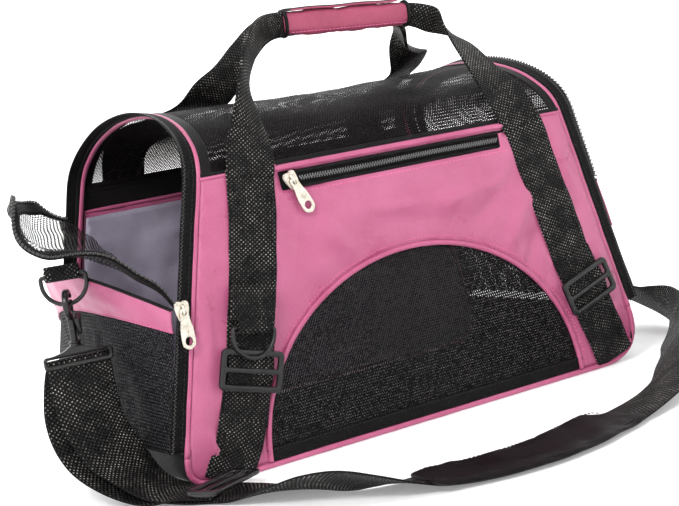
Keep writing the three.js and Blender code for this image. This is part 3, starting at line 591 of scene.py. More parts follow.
def round_section(points=10):
    turn = np.arange(points) * TAU / points
    return np.stack([np.cos(turn), np.sin(turn)], -1)


def tape(name, line, across, half, thick, material, around=16):
    """A flat sewn tape along a line."""
    return sweep(name, band_rows(line, across, half, thick), flat_section(around, 0.3, 0.5), material)


def round_cord(name, line, radius, material, across=(0, 1, 0), around=10, closed=False):
    return sweep(name, band_rows(line, across, radius, radius), round_section(around), material, closed)


def blocks(name, centres, along, across, up, size, material, taper=0.55):
    """Many small round-shouldered blocks in one mesh: stitches, zip teeth."""
    centres, along, across, up = (np.asarray(v, float) for v in (centres, along, across, up))
    length, width, height = size
    verts, faces = [], []
    for lift, share in ((-0.5, 1.0), (0.15, 1.0), (0.5, taper)):
        for u, v in ((-1, -1), (1, -1), (1, 1), (-1, 1)):
            verts.append(centres + along * (u * length * share / 2) + across * (v * width * share / 2)
                         + up * (lift * height))
    verts = np.stack(verts, 1)
    for i in range(len(centres)):
        b = 12 * i
        faces.append((b + 3, b + 2, b + 1, b))
        faces.append((b + 8, b + 9, b + 10, b + 11))
        for ring in (0, 4):
            for k in range(4):
                n = (k + 1) % 4
                faces.append((b + ring + k, b + ring + n, b + ring + 4 + n, b + ring + 4 + k))
    flat = verts.reshape(-1, 3)
    return make(name, flat, faces, material, flat[:, [0, 2]])


def stitches(name, line, ups, material, pitch=3.4, length=2.3, size=0.6):
    """A row of stitches along a line that lies on a surface."""
    both = even(np.hstack([line, np.broadcast_to(ups, np.shape(line))]), pitch)
    centres, up = both[:, :3], unit(both[:, 3:])
    along = travel(centres)
    across = np.cross(up, along)
    return blocks(name, centres, along, across, up, (length, size, size), material)


def coil(name, line, ups, material, pitch=1.7, width=4.4, height=1.3):
    """The interlocked teeth of a coil zip along a line."""
    both = even(np.hstack([line, np.broadcast_to(ups, np.shape(line))]), pitch)
    centres, up = both[:, :3], unit(both[:, 3:])
    along = travel(centres)
    across = unit(np.cross(up, along))
    shift = np.where(np.arange(len(centres)) % 2 == 0, 0.22, -0.22)[:, None] * width
    return blocks(name, centres + across * shift, along, across, up,
                  (pitch * 0.72, width * 0.62, height), material, 0.6)


def inside(points, loop):
    """Which points lie inside a closed outline."""
    x, z = points[:, 0], points[:, 1]
    hit = np.zeros(len(points), bool)
    for (x0, z0), (x1, z1) in zip(loop, np.roll(loop, -1, axis=0)):
        if z0 == z1:
            continue
        between = (z0 > z) != (z1 > z)
        hit ^= between & (x < (x1 - x0) * (z - z0) / (z1 - z0) + x0)
    return hit


def subdivided(loop, step):
    out = []
    for a, b in zip(loop, np.roll(loop, -1, axis=0)):
        count = max(int(math.ceil(np.linalg.norm(b - a) / step)), 1)
        out.extend(a + (b - a) * i / count for i in range(count))
    return np.array(out)


def triangulated(outline, holes, step):
    """Even triangles that fill an outline round its holes."""
    loops = [subdivided(np.asarray(loop, float), step) for loop in [outline, *holes]]
    low, high = loops[0].min(0), loops[0].max(0)
    xs = np.arange(low[0], high[0], step)
    zs = np.arange(low[1], high[1], step * 0.866)
    grid = np.array([(x + (j % 2) * step / 2, z) for j, z in enumerate(zs) for x in xs])
    keep = inside(grid, loops[0])
    for loop in loops[1:]:
        keep &= ~inside(grid, loop)
    rim = np.vstack(loops)
    grid = grid[keep]
    near = np.concatenate([
        np.min(np.linalg.norm(part[:, None] - rim[None], axis=-1), axis=1)
        for part in np.array_split(grid, max(len(grid) // 500, 1))
    ])
    grid = grid[near > step * 0.6]
    edges, start = [], 0
    for loop in loops:
        count = len(loop)
        edges += [(start + i, start + (i + 1) % count) for i in range(count)]
        start += count
    points = np.vstack([rim, grid])
    cut = geometry.delaunay_2d_cdt([Vector(p) for p in points], edges, [], 0, 1e-4)
    flat = np.array([tuple(v) for v in cut[0]])
    faces = np.array([f for f in cut[2] if len(f) == 3])
    middles = flat[faces].mean(1)
    good = inside(middles, loops[0])
    for loop in loops[1:]:
        good &= ~inside(middles, loop)
    a, b, c = (flat[faces[:, i]] for i in range(3))
    area = np.abs((b[:, 0] - a[:, 0]) * (c[:, 1] - a[:, 1]) - (b[:, 1] - a[:, 1]) * (c[:, 0] - a[:, 0])) / 2
    good &= area > 0.01 * step**2
    return flat, faces[good]


def panel(name, outline, holes, lift, material, step=4.0, thickness=1.0):
    """A sewn cloth panel: a flat outline carried onto the surface that lift gives."""
    flat, faces = triangulated(outline, holes, step)
    obj = make(name, lift(flat), faces, material, flat)
    return thicken(obj, thickness)


def grid_sheet(name, lift, u_range, v_range, columns, rows, material, thickness=1.0, size=None):
    """A curved sheet over a grid of u and v."""
    u = np.linspace(*u_range, columns + 1)
    v = np.linspace(*v_range, rows + 1)
    uu, vv = (g.ravel() for g in np.meshgrid(u, v, indexing="ij"))
    faces = []
    for i in range(columns):
        for j in range(rows):
            a = i * (rows + 1) + j
            faces.append((a, a + rows + 1, a + rows + 2, a + 1))
    scale = size or (1.0, 1.0)
    uv = np.stack([uu * scale[0], vv * scale[1]], -1)
    return thicken(make(name, lift(uu, vv), faces, material, uv), thickness)


def smooth_step(x, low, high):
    t = np.clip((np.asarray(x, float) - low) / (high - low), 0, 1)
    return t * t * (3 - 2 * t)


def arc(x0, z0, rx, rz, start, end, count):
    t = np.radians(np.linspace(start, end, count))
    return np.stack([x0 + rx * np.cos(t), z0 + rz * np.sin(t)], -1)


def bezier(a, b, c, count):
    t = np.linspace(0, 1, count)[:, None]
    a, b, c = (np.array(p, float) for p in (a, b, c))
    return (1 - t) ** 2 * a + 2 * t * (1 - t) * b + t**2 * c


def end_x(z):
    """Half the bag's length at a height: the ends lean inward."""
    return HALF_LENGTH - END_SLOPE * z


def on_end(side, y, s, n):
    """A place on an end: y across, s up along the lean, n out of it."""
    y, s, n = np.broadcast_arrays(np.asarray(y, float), np.asarray(s, float), np.asarray(n, float))
    x = side * (HALF_LENGTH - s * SIN_LEAN + n * COS_LEAN)
    return np.stack([x, y, s * COS_LEAN + n * SIN_LEAN], -1)


def end_out(side):
    return np.array([side * COS_LEAN, 0, SIN_LEAN])


# ---- Shoulder strap -------------------------------------------------------------------
# Each row is a place on the route and the direction of the strap's width there.
STRAP_ROUTE = [
    [-248, -40, 101.4, 0.974, -0.225, 0],
    [-248.7, -43, 100.4, 0.974, -0.225, 0],
    [-248.9, -43.6, 96.5, 0.974, -0.225, 0],
    [-249.2, -43.6, 90, 0.97, -0.225, 0],
    [-249.5, -45, 79, 0.95, -0.25, -0.05],
    [-250, -51, 61, 0.93, -0.2, -0.2],
    [-248, -61, 44, 0.9, -0.2, -0.3],
    [-243, -74, 28, 0.85, -0.25, -0.3],
    [-236, -91, 14, 0.87, 0.1, -0.2],
    [-227, -108, 5.5, 0.87, 0.35, -0.05],
    [-214, -126, 2.2, 0.85, 0.5, 0],
    [-200, -146, 1.6, 0.87, 0.49, 0],
    [-190, -168, 2.2, 0.9, 0.42, -0.05],
    [-183, -190, 5.2, 0.92, 0.35, -0.22],
    [-177, -210, 8.5, 0.93, 0.33, -0.36],
    [-169, -229, 11.5, 0.9, 0.4, -0.54],
    [-158, -245, 12.5, 0.8, 0.55, -0.58],
    [-144, -257, 10, 0.65, 0.75, -0.43],
    [-128, -265, 6, 0.5, 0.85, -0.24],
    [-110, -271, 3.4, 0.3, 0.95, -0.06],
    [-82, -281, 2.4, 0.1, 1, 0],
    [-50, -286, 2.4, 0, 1, 0],
    [-16, -284, 2.4, -0.1, 1, 0],
    [12, -276, 2.6, -0.15, 1, 0],
    [38, -268, 2.2, -0.12, 1, 0],
    [64, -262, 3, -0.1, 0.99, -0.09],
    [100, -250, 6, -0.42, 0.86, -0.22],
    [128, -234, 10, -0.5, 0.75, -0.4],
    [154, -214, 14, -0.51, 0.64, -0.57],
    [186, -181, 17, -0.5, 0.5, -0.7],
    [220, -147, 19, -0.42, 0.42, -0.8],
    [248, -118, 19, -0.42, 0.42, -0.8],
    [272, -90, 21.8, -0.12, 0.25, -0.94],
    [289, -64, 22.5, 0.38, 0.05, -0.92],
    [297, -40, 25, 0.66, 0.15, -0.73],
    [297, -17, 32, 0.7, 0.4, -0.6],
    [288, 0, 42, 0.5, 0.78, -0.36],
    [273, 6, 53, 0.3, 0.93, -0.2],
    [258, 3, 65, 0.1, 1, 0],
    [246, 1, 75, 0, 1, 0],
    [239.8, 0, 84.5, 0, 1, 0],
]
STRAP_T = 0.95


def strap_rows(stations):
    rows = spline(stations, 8)
    return band_rows(rows[:, :3], rows[:, 3:], STRAP_HALF, STRAP_T)


def add_strap():
    rows = strap_rows(STRAP_ROUTE)
    strap = sweep("shoulder_strap_web", rows, flat_section(26, 0.2, 0.45), STRAP_WEB)
    settle(strap, "shell", "webbing", "shoulder_strap")

    # The strap's own end runs back from the buckle to the left clip behind the first layer.
    back = [[-248, -39.6, 101.2, 0.974, -0.225, 0], [-247.4, -37, 100.4, 0.974, -0.225, 0],
            [-247.3, -36.4, 96.5, 0.974, -0.225, 0], [-248.4, -35.4, 90, 0.97, -0.225, 0],
            [-252, -35, 77, 0.95, -0.25, -0.05], [-257, -40, 58, 0.93, -0.2, -0.2],
            [-258, -51, 40, 0.9, -0.2, -0.3], [-253, -66, 24, 0.85, -0.25, -0.3],
            [-243, -86, 9.5, 0.86, 0.15, -0.1], [-229, -107, 2.6, 0.87, 0.35, 0],
            [-214.5, -126, 4.4, 0.85, 0.5, 0], [-200, -146, 3.9, 0.87, 0.49, 0]]
    second = sweep("shoulder_strap_return", strap_rows(back), flat_section(26, 0.2, 0.45), STRAP_WEB)
    settle(second, "shell", "webbing")

    path = [tuple(v * MM for v in row) for row in rows[::10, :3]]
    length = lengths(rows[:, :3])[-1] * MM
    return strap, second, path, length


def add_pad():
    """The shoulder pad: two stitched faces over foam, pulled in along its edges."""
    stations = [[x, y, z + 2.0, *w] for x, y, z, *w in STRAP_ROUTE[18:26]]
    line = spline(stations, 16)[8:-8]
    far = lengths(line[:, :3])
    share = far / far[-1]
    ends = np.clip(np.minimum(share, 1 - share) / 0.06, 0, 1) ** 0.4
    half = 27.5 * (0.82 + 0.18 * ends) + 0.6 * ripple(line[:, :3], 40, 3)
    thick = 3.4 * (0.45 + 0.55 * ends)
    rows = band_rows(line[:, :3], line[:, 3:], half, thick)
    section = flat_section(40, 0.62, 0.85)
    pad = sweep("shoulder_pad", rows, section, SATIN)
    mesh = pad.data
    co = np.array([v.co[:] for v in mesh.vertices]) / MM
    rumple = ripple(co * [1, 1.6, 1], 26, 11) * 0.55 + ripple(co, 11, 12) * 0.22
    up = co[:, 2] > np.repeat(line[:, 2], len(section)) - 0.3
    for vertex, lift in zip(mesh.vertices, np.where(up, rumple, 0.1 * rumple)):
        vertex.co.z += max(lift, -1.0) * MM
    settle(pad, "shell", "satin", "strap_pad")
    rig.padded(pad, fill=0.5)
    seams = []
    for sign in (-1, 1):
        edge = unit(line[:, 3:6]) * (half * 0.86)[:, None] * sign
        top = line[:, :3] + edge + np.array([0, 0, 1]) * (thick * 0.62)[:, None]
        seam = stitches(f"pad_stitch_{'near' if sign < 0 else 'far'}", top, (0, 0, 1), BLACK_THREAD)
        seams.append(settle(seam, "shell", "satin"))
    return [pad, *seams]


# ---- Hardware shapes ------------------------------------------------------------------
def turned(points, place, x_axis, z_axis):
    """Points drawn with x across, y out of the plane and z up, carried to a place."""
    x_axis, z_axis = unit(x_axis), unit(z_axis)
    y_axis = np.cross(z_axis, x_axis)
    p = np.asarray(points, float)
    return np.asarray(place, float) + p[:, :1] * x_axis + p[:, 1:2] * y_axis + p[:, 2:] * z_axis


def flat_loop(points2d):
    p = np.asarray(points2d, float)
    return points(p[:, 0], 0, p[:, 1])


def ring_line():
    """The middle line of a D ring: a straight bar on top and a round bow below."""
    bar, half, drop = 3.4, 18.0, 5.0
    inner = half - bar / 2
    bow = arc(0, -drop, inner, inner, 180, 360, 25)
    top = np.stack([np.linspace(inner - 1.2, -inner + 1.2, 15), np.zeros(15)], -1)
    corner_a = bezier((inner, -2.0), (inner, 0), (inner - 2.0, 0), 4)
    corner_b = bezier((-inner + 2.0, 0), (-inner, 0), (-inner, -2.0), 4)
    return flat_loop(np.vstack([bow, corner_a[:-1], top[1:-1], corner_b[1:]]))


def add_ring(name, place, x_axis, z_axis, body, node):
    line = turned(ring_line(), place, x_axis, z_axis)
    normal = np.cross(unit(z_axis), unit(x_axis))
    obj = round_cord(name, line, 1.6, PLASTIC, normal, 12, closed=True)
    return settle(obj, body, "black_plastic", node)


def add_ring_tab(name, place, x_axis, z_axis, node, width=25.0):
    """A folded webbing tab round a ring's bar, sewn flat above it."""
    fold = arc(0, 0, 3.3, 3.4, -200, 20, 15)
    front = np.stack([np.linspace(3.0, 1.7, 6), np.linspace(2.2, 7.0, 6)], -1)
    outline = np.vstack([[-1.6, 7.0], [-2.9, 2.4], fold[1:-1], front])
    line = turned(points(0, outline[:, 0], outline[:, 1]), place, x_axis, z_axis)
    rows = band_rows(line, unit(x_axis), width / 2, 0.7)
    obj = sweep(name, spline(rows, 2), flat_section(18, 0.2, 0.5), WEBBING)
    return settle(obj, "shell", "webbing", node)


def plate(name, outline, holes, depth, bevel, place, x_axis, z_axis, material):
    """A flat moulded or stamped piece with rounded edges."""
    flat, faces = triangulated(outline, holes, 3.0)
    drawn = points(flat[:, 0], -depth / 2, flat[:, 1])
    obj = make(name, turned(drawn, place, x_axis, z_axis), faces, material, flat)
    wall = obj.modifiers.new("thickness", "SOLIDIFY")
    wall.thickness = depth * MM
    wall.offset = 1.0 if faces_face_out(obj, x_axis, z_axis) else -1.0
    round_off = obj.modifiers.new("edges", "BEVEL")
    round_off.width = bevel * MM
    round_off.segments = 3
    round_off.limit_method = "ANGLE"
    round_off.angle_limit = math.radians(50)
    return obj


def faces_face_out(obj, x_axis, z_axis):
    out = np.cross(unit(z_axis), unit(x_axis))
    return Vector(out).dot(obj.data.polygons[0].normal) < 0


def rounded_box(x0, z0, x1, z1, r, count=5):
    corners = [(x1 - r, z1 - r, 0), (x0 + r, z1 - r, 90), (x0 + r, z0 + r, 180), (x1 - r, z0 + r, 270)]
    return np.vstack([arc(x, z, r, r, a, a + 90, count) for x, z, a in corners])


def add_triglide(name, place, x_axis, z_axis, width, height, node):
    """A moulded tri-glide: a rounded frame with a middle bar between two slots."""
    half, tall, bar = width / 2, height / 2, 4.4
    slots = []
    for low, high in ((1.9, tall - bar), (bar - tall, -1.9)):
        slots.append(rounded_box(-half + bar, low, half - bar, high, 1.4, 4)[::-1])
    outline = rounded_box(-half, -tall, half, tall, 4.2, 6)
    frame_plate = plate(name, outline, slots, 3.4, 1.1, place, x_axis, z_axis, PLASTIC)
    settle(frame_plate, "shell", "black_plastic", node)
    grips = []
    out = -np.cross(unit(z_axis), unit(x_axis))
    for side in (-1, 1):
        x = side * (half - bar / 2)
        line = flat_loop(np.stack([np.full(9, x), np.linspace(-tall + 6, tall - 6, 9)], -1))
        line = turned(line, np.asarray(place, float) + out * 1.5, x_axis, z_axis)
        rib = round_cord(f"{name}_rib_{'left' if side < 0 else 'right'}", line, 0.9, PLASTIC, x_axis, 8)
        grips.append(settle(rib, "shell", "black_plastic"))
    return [frame_plate, *grips]


def add_slider(name, place, x_axis, z_axis):
    """A zip slider with its bridge, and its pull tab."""
    slider, pull = f"{name}_slider", f"{name}_pull"
    x_axis, z_axis = unit(x_axis), unit(z_axis)
    out = -np.cross(z_axis, x_axis)
    centre = np.asarray(place, float)
    shape = np.vstack([
        bezier((-3.2, -7), (-5.8, 0), (-5.3, 5.2), 7),
        bezier((-5.3, 5.2), (-3.4, 8.0), (0, 6.2), 5)[1:],
        bezier((0, 6.2), (3.4, 8.0), (5.3, 5.2), 5)[1:],
        bezier((5.3, 5.2), (5.8, 0), (3.2, -7), 7)[1:],
    ])
    lower = plate(f"{slider}_base", shape, [], 1.1, 0.4, centre + out * 0.5, x_axis, z_axis, NICKEL)
    settle(lower, slider, "nickel", slider)
    upper = plate(f"{slider}_top", shape * 0.96, [], 0.8, 0.3, centre + out * 2.0, x_axis, z_axis, NICKEL)
    settle(upper, slider, "nickel")
    bridge = [[0, -2.9, -4.2], [0, -4.6, -2.6], [0, -5.3, 0.2], [0, -4.8, 2.8], [0, -2.9, 4.0]]
    line = turned(spline(bridge, 4), centre, x_axis, z_axis)
    settle(round_cord(f"{slider}_bridge", line, 1.15, NICKEL, x_axis, 8), slider, "nickel")

    tab = np.vstack([
        bezier((3.3, 0.2), (0, 3.4), (-3.3, 0.2), 7),
        bezier((-3.3, 0.2), (-3.2, -7), (-4.8, -12), 5)[1:],
        bezier((-4.8, -12), (-5.6, -20), (-5.0, -24.5), 5)[1:],
        bezier((-5.0, -24.5), (0, -31), (5.0, -24.5), 9)[1:],
        bezier((5.0, -24.5), (5.6, -20), (4.8, -12), 5)[1:],
        bezier((4.8, -12), (3.2, -7), (3.3, 0.2), 5)[1:-1],
    ])
    slot = rounded_box(-2.7, -24.6, 2.7, -18.6, 2.6)[::-1]
    eye = rounded_box(-1.5, -3.6, 1.5, -0.2, 1.4)[::-1]
    flat_tab = plate(f"{pull}_tab", tab, [slot, eye], 1.5, 0.45, centre + out * 2.9, x_axis, z_axis, NICKEL)
    settle(flat_tab, pull, "nickel", pull)
    rib = turned(points(0, 0, np.linspace(-6.5, -15.5, 8)), centre + out * 5.2, x_axis, z_axis)
    settle(round_cord(f"{pull}_ridge", rib, 0.7, NICKEL, x_axis, 8), pull, "nickel")


def add_clip(name, place, lean, ring_turn, foot_turn):
    """Ring, tab, snap hook, gate and swivel foot of one shoulder-strap clip."""
    c, s = math.cos(lean), math.sin(lean)
    down = np.array([-s, 0, -c])
    level = np.array([c, 0, -s])
    side = np.array([0, 1.0, 0])

    def around(angle):
        a = math.radians(angle)
        return level * math.cos(a) + side * math.sin(a)

    centre = np.asarray(place, float)
    ring_x = around(ring_turn)
    add_ring(f"{name}_d_ring", centre, ring_x, -down, "shell", f"{name}_ring")
    add_ring_tab(f"{name}_ring_tab", centre, ring_x, -down, f"{name}_ring_loop")

    hook_at = centre + down * 21.3
    hook_x = around(ring_turn + 90)
    crook = arc(0, 0, 9.0, 9.0, 30, 262, 22)
    stem = np.stack([np.linspace(-0.6, 0, 8), np.linspace(-9.6, -29.5, 8)], -1)
    line = turned(flat_loop(np.vstack([crook, stem])), hook_at, hook_x, -down)
    thick = np.concatenate([np.linspace(1.6, 2.5, 22), np.linspace(3.0, 3.4, 8)])
    normal = np.cross(unit(-down), unit(hook_x))
    rows = band_rows(line, normal, 2.3, thick)
    hook = sweep(f"{name}_snap_hook", rows, flat_section(16, 0.55, 0.55), PLASTIC)
    settle(hook, "shell", "black_plastic", f"{name}_hook")
    heel = np.vstack([bezier((-2.8, -11), (1, -10), (7.2, -7.4), 6), [(10.6, -9.4)],
                      bezier((7.5, -14), (4, -19), (2.8, -24), 5)])
    heel = plate(f"{name}_hook_heel", heel, [], 4.2, 0.9, hook_at, hook_x, -down, PLASTIC)
    settle(heel, "shell", "black_plastic")

    def at(r, a):
        return r * math.cos(math.radians(a)), r * math.sin(math.radians(a))

    gate_line = spline([at(9.1, -42), at(9.3, -28), at(9.1, -14), at(9.0, 0), at(8.8, 12)], 4)
    line = turned(flat_loop(gate_line), hook_at, hook_x, -down)
    gate = sweep(f"{name}_gate", band_rows(line, normal, 1.9, 1.6), flat_section(12, 0.6, 0.6), PLASTIC)
    settle(gate, f"{name}_hook_gate", "black_plastic", f"{name}_hook_gate")
    line = turned(flat_loop([at(10.6, -22), at(12.0, -17), at(10.6, -12)]), hook_at, hook_x, -down)
    thumb = round_cord(f"{name}_gate_thumb", line, 1.3, PLASTIC, normal, 8)
    settle(thumb, f"{name}_hook_gate", "black_plastic")

    foot_at = centre + down * (21.3 + 30 + 5.3)
    foot_x = around(foot_turn)
    half = STRAP_HALF + 2
    outer = rounded_box(-half, -9, half, 0.6, 2.4, 4)
    hole = rounded_box(-STRAP_HALF + 0.3, -5.6, STRAP_HALF - 0.3, -1.4, 1.4, 4)[::-1]
    eye = plate(f"{name}_foot_eye", outer, [hole], 4.2, 1.1, foot_at, foot_x, -down, PLASTIC)
    settle(eye, "shell", "black_plastic", f"{name}_hook_foot")
    yoke = np.vstack([bezier((half - 4, 0), (9, 1.2), (5.6, 4.8), 6),
                      bezier((-5.6, 4.8), (-9, 1.2), (-half + 4, 0), 6)])
    yoke = plate(f"{name}_foot_yoke", yoke, [], 3.8, 0.9, foot_at + (-down) * 0.3, foot_x, -down, PLASTIC)
    settle(yoke, "shell", "black_plastic")
    collar = turned(points(0, 0, np.linspace(3.6, 8.4, 8)), foot_at, foot_x, -down)
    radii = [3.6, 4.6, 4.9, 4.2, 3.6, 4.4, 4.8, 3.8]
    swivel = round_cord(f"{name}_swivel", collar, radii, PLASTIC, foot_x, 14)
    settle(swivel, "shell", "black_plastic")
    names = ["snap_hook", "hook_heel", "gate", "gate_thumb", "foot_eye", "foot_yoke", "swivel"]
    return [bpy.data.objects[f"{name}_{n}"] for n in names]


left_clip = add_clip("left", (-248, -40, 161.5), 0.0, -30, -13)
right_clip = add_clip("right", (211, 0, 146), math.radians(-25), 90, 90)
strap, strap_second, strap_path, strap_length = add_strap()
pad_pieces = add_pad()
glide_x = (math.cos(math.radians(27)), math.sin(math.radians(27)), 0)
glide_z = (-glide_x[1], glide_x[0], 0)
glide = add_triglide("strap_buckle", (-200, -146, 6.0), glide_x, glide_z, 55, 26, "strap_triglide")
on_strap = [strap_second, *pad_pieces, *glide, *left_clip, *right_clip]
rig.cord(strap, exit=strap_path[0], length=round(strap_length, 3), diameter=2 * STRAP_HALF * MM,
        far_end="object", stiffness="limp", lay="loose", path=strap_path, with_pieces=on_strap)


# ---- Outlines of the sides ------------------------------------------------------------
def side_outline(inset, bottom, top, window=False):
    def edge(z):
        return end_x(z) - inset

    left = bezier((-edge(25), 25), (-edge(bottom), bottom), (-(HALF_LENGTH - 25), bottom), 8)
    right = bezier((HALF_LENGTH - 45, bottom), (edge(bottom), bottom), (edge(45), 45), 10)
    parts = [[(-edge(top), top)], left]
    if window:
        parts.append(arc(0, bottom, WINDOW_HALF, WINDOW_RISE + PANEL_BOTTOM - bottom, 180, 0, 60))
    parts += [right, [(edge(top), top)]]
    return np.vstack(parts)


def window_gap(x, z):
    """How far a place is outside the window's arch, roughly in millimetres."""
    reach = np.sqrt((x / WINDOW_HALF) ** 2 + ((z - PANEL_BOTTOM) / WINDOW_RISE) ** 2)
    return (reach - 1) * 133


# Each fold is its start, its end, its width and its height.
FRONT_FOLDS = [
    ((-76, 170), (-50, 136), 8, 2.0), ((-98, 206), (-72, 164), 10, -1.2),
    ((-106, 172), (-80, 132), 6, -1.8), ((-96, 150), (-70, 120), 7, 1.6),
    ((104, 186), (26, 158), 9, 2.6), ((104, 166), (56, 138), 8, -2.0),
    ((112, 150), (92, 116), 7, 2.4), ((122, 128), (108, 92), 6, -1.8),
    ((-60, 178), (40, 166), 11, 1.6), ((-30, 160), (50, 148), 8, -1.2),
    ((-184, 160), (-176, 80), 6, 1.8), ((-170, 130), (-178, 60), 5, -1.0),
    ((-198, 64), (-184, 20), 7, 2.6), ((-189, 48), (-176, 14), 5, -2.0),
    ((186, 112), (174, 58), 6, 1.8), ((152, 200), (162, 146), 6, 2.0),
    ((150, 176), (170, 120), 5, -1.2), ((196, 60), (184, 30), 6, 1.6),
]
REAR_FOLDS = [
    ((-90, 60), (70, 52), 16, 1.6), ((-100, 150), (-40, 118), 9, 1.3),
    ((96, 160), (40, 122), 9, 1.4), ((-60, 30), (60, 26), 9, -1.0),
    ((-190, 70), (-176, 30), 7, 1.4), ((186, 80), (172, 36), 7, 1.3),
]


def rise(depth, reach):
    """From 0 at an edge to 1 well inside it."""
    return 1 - np.exp(-np.maximum(depth, 0) / reach)


def front_lift(x, z):
    """How far the front cloth stands out of its flat plane."""
    side = rise(end_x(z) - 2.9 - np.abs(x), 12)
    swell = 2.6 * side * rise(z - 4.9, 10) * rise(212 - z, 9) * rise(window_gap(x, z), 11)
    p = np.stack([x, z], -1)
    folds = creases(p, FRONT_FOLDS)
    lift = swell * (1 + 0.3 * ripple(p, 70, 5)) + 1.9 * folds * side + 0.35 * side * ripple(p, 26, 6)
    # The cloth stays low under the pocket's zip pull, wherever the slider is.
    room = 2.9 + 8 * (1 - smooth_step(z, 158, 172)) + 8 * smooth_step(np.abs(x), 106, 120)
    return np.minimum(lift, room)


def front_surface(flat, out=0.0):
    x, z = flat[:, 0], flat[:, 1]
    return np.stack([x, FRONT_Y - front_lift(x, z) - out, z], -1)


def rear_lift(x, z):
    """How far the rear cloth stands out of its flat plane."""
    p = np.stack([x, z], -1)
    side = rise(end_x(z) - 3 - np.abs(x), 14)
    swell = 2.4 * side * rise(z - 4.9, 14) * rise(212 - z, 12)
    folds = creases(p, REAR_FOLDS)
    return swell * (1 + 0.25 * ripple(p, 75, 15)) + folds * side + 0.25 * side * ripple(p, 26, 16)


# ---- Front ----------------------------------------------------------------------------
def piping_curve(points2d, y):
    p = np.asarray(points2d, float)
    return points(p[:, 0], y, p[:, 1])


def bottom_curve():
    seat = 2.5
    left = bezier((-end_x(25), 25), (-end_x(seat), seat), (-(HALF_LENGTH - 25), seat), 8)
    right = bezier((HALF_LENGTH - 45, seat), (end_x(seat), seat), (end_x(45), 45), 10)
    return np.vstack([left, right])


def add_front():
    zip_hole = rounded_box(-101, 194.5, 98, 208, 2.0, 3)[::-1]
    outline = side_outline(1.6, PANEL_BOTTOM, 213.5, True)
    front = panel("front_cloth", outline, [zip_hole], front_surface, PINK, 3.4, 1.1)
    settle(front, "shell", "pink", "front_panel")

    arch = arc(0, PANEL_BOTTOM, WINDOW_HALF - 0.3, WINDOW_RISE - 0.3, 180, 0, 150)
    line = piping_curve(arch, FRONT_Y - 1.0)
    line[:, 1] -= 0.15 * ripple(line, 20, 21)
    settle(round_cord("window_piping", line, 2.1, PINK_CORD), "shell", "dark_pink")
    seam = arc(0, PANEL_BOTTOM, WINDOW_HALF + 4.6, WINDOW_RISE + 4.6, 178, 2, 160)
    on = front_surface(seam, 0.75)
    settle(stitches("window_stitches", on, (0, -1, 0), PINK_THREAD), "shell", "pink")

    net_line = arc(0, PANEL_BOTTOM, WINDOW_HALF, WINDOW_RISE, 176, 4, 80)
    net_line = np.vstack([net_line, [(145, 12), (-145, 12)]])

    def net(flat):
        x, z = flat[:, 0], flat[:, 1]
        depth = rise(-window_gap(x, z), 22)
        p = np.stack([x, z], -1)
        pull = crease(p, (-120, 30), (-40, 100), 14, 1.2) + crease(p, (30, 110), (110, 40), 16, -1.2)
        y = FRONT_Y + 0.4 + depth * (0.8 * ripple(p, 90, 23) + pull) * 0.7
        return np.stack([x, y, z], -1)

    window = panel("window_net_sheet", net_line, [], net, WINDOW_NET, 5.0, 0.5)
    settle(window, "shell", "netting", "front_window_mesh")

    x = np.linspace(-147, 147, 60)
    strip = points(x, FRONT_Y - 0.8, 9.8)
    strip[:, 1] -= 0.35 * ripple(strip, 60, 24)
    binding = tape("window_binding_tape", strip, (0, 0, 1), 5.2, 0.9, TAPE)
    settle(binding, "shell", "black_tape", "front_window_binding")
    line = strip + [0, -0.9, 3.6]
    settle(stitches("window_binding_stitches", line, (0, -1, 0), BLACK_THREAD), "shell", "black_tape")

    edge = piping_curve(even(bottom_curve(), 4), FRONT_Y - 0.2)
    edge += 0.25 * ripple(edge, 26, 25)[:, None] * [0, 1, 0]
    piping = round_cord("front_bottom_cord", edge, 2.2, PINK_CORD)
    settle(piping, "shell", "dark_pink", "front_bottom_piping")
    add_pocket()


def add_pocket():
    line = points(np.linspace(-101, 98, 60), FRONT_Y - 0.1, POCKET_Z)
    backing = tape("pocket_tape", line, (0, 0, 1), 7.2, 0.6, TAPE)
    settle(backing, "shell", "black_tape", "pocket_zip_tape")
    x = np.linspace(-84, 96, 60)
    line = points(x, FRONT_Y - 1.3, POCKET_Z + 0.3 * np.sin(x / 21))
    settle(coil("pocket_coil", line, (0, -1, 0), SILVER_COIL, 1.1, 3.6, 1.1), "shell", "nickel")
    for name, z, sag in (("lower", 196.4, -0.8), ("upper", 206.4, 0.4)):
        fold = points(x * 1.08, FRONT_Y - 1.5 - 0.5 * np.cos(x / 30), z + sag)
        settle(round_cord(f"pocket_fold_{name}", fold, 1.2, BLACK_CLOTH, around=8), "shell", "black_tape")
    line = points(x * 1.06, 0, 191.5)
    line[:, 1] = FRONT_Y - front_lift(line[:, 0], line[:, 2]) - 0.7
    settle(stitches("pocket_stitches", line, (0, -1, 0), PINK_THREAD), "shell", "pink")

    top = points(np.linspace(-104, 102, 70), FRONT_Y - 1.7, 211.2)
    top += 0.25 * ripple(top, 22, 31)[:, None] * [0, 1, 0.6]
    cord = round_cord("front_top_cord", top, 1.9, PINK_CORD)
    settle(cord, "shell", "dark_pink", "front_top_piping")
    for sign in (-1, 1):
        far = points(sign * np.linspace(102, 163, 26), FRONT_Y - 0.2, 213.4)
        name = f"front_top_cord_{'left' if sign < 0 else 'right'}"
        settle(round_cord(name, far, 1.3, PINK_CORD, around=8), "shell", "dark_pink")


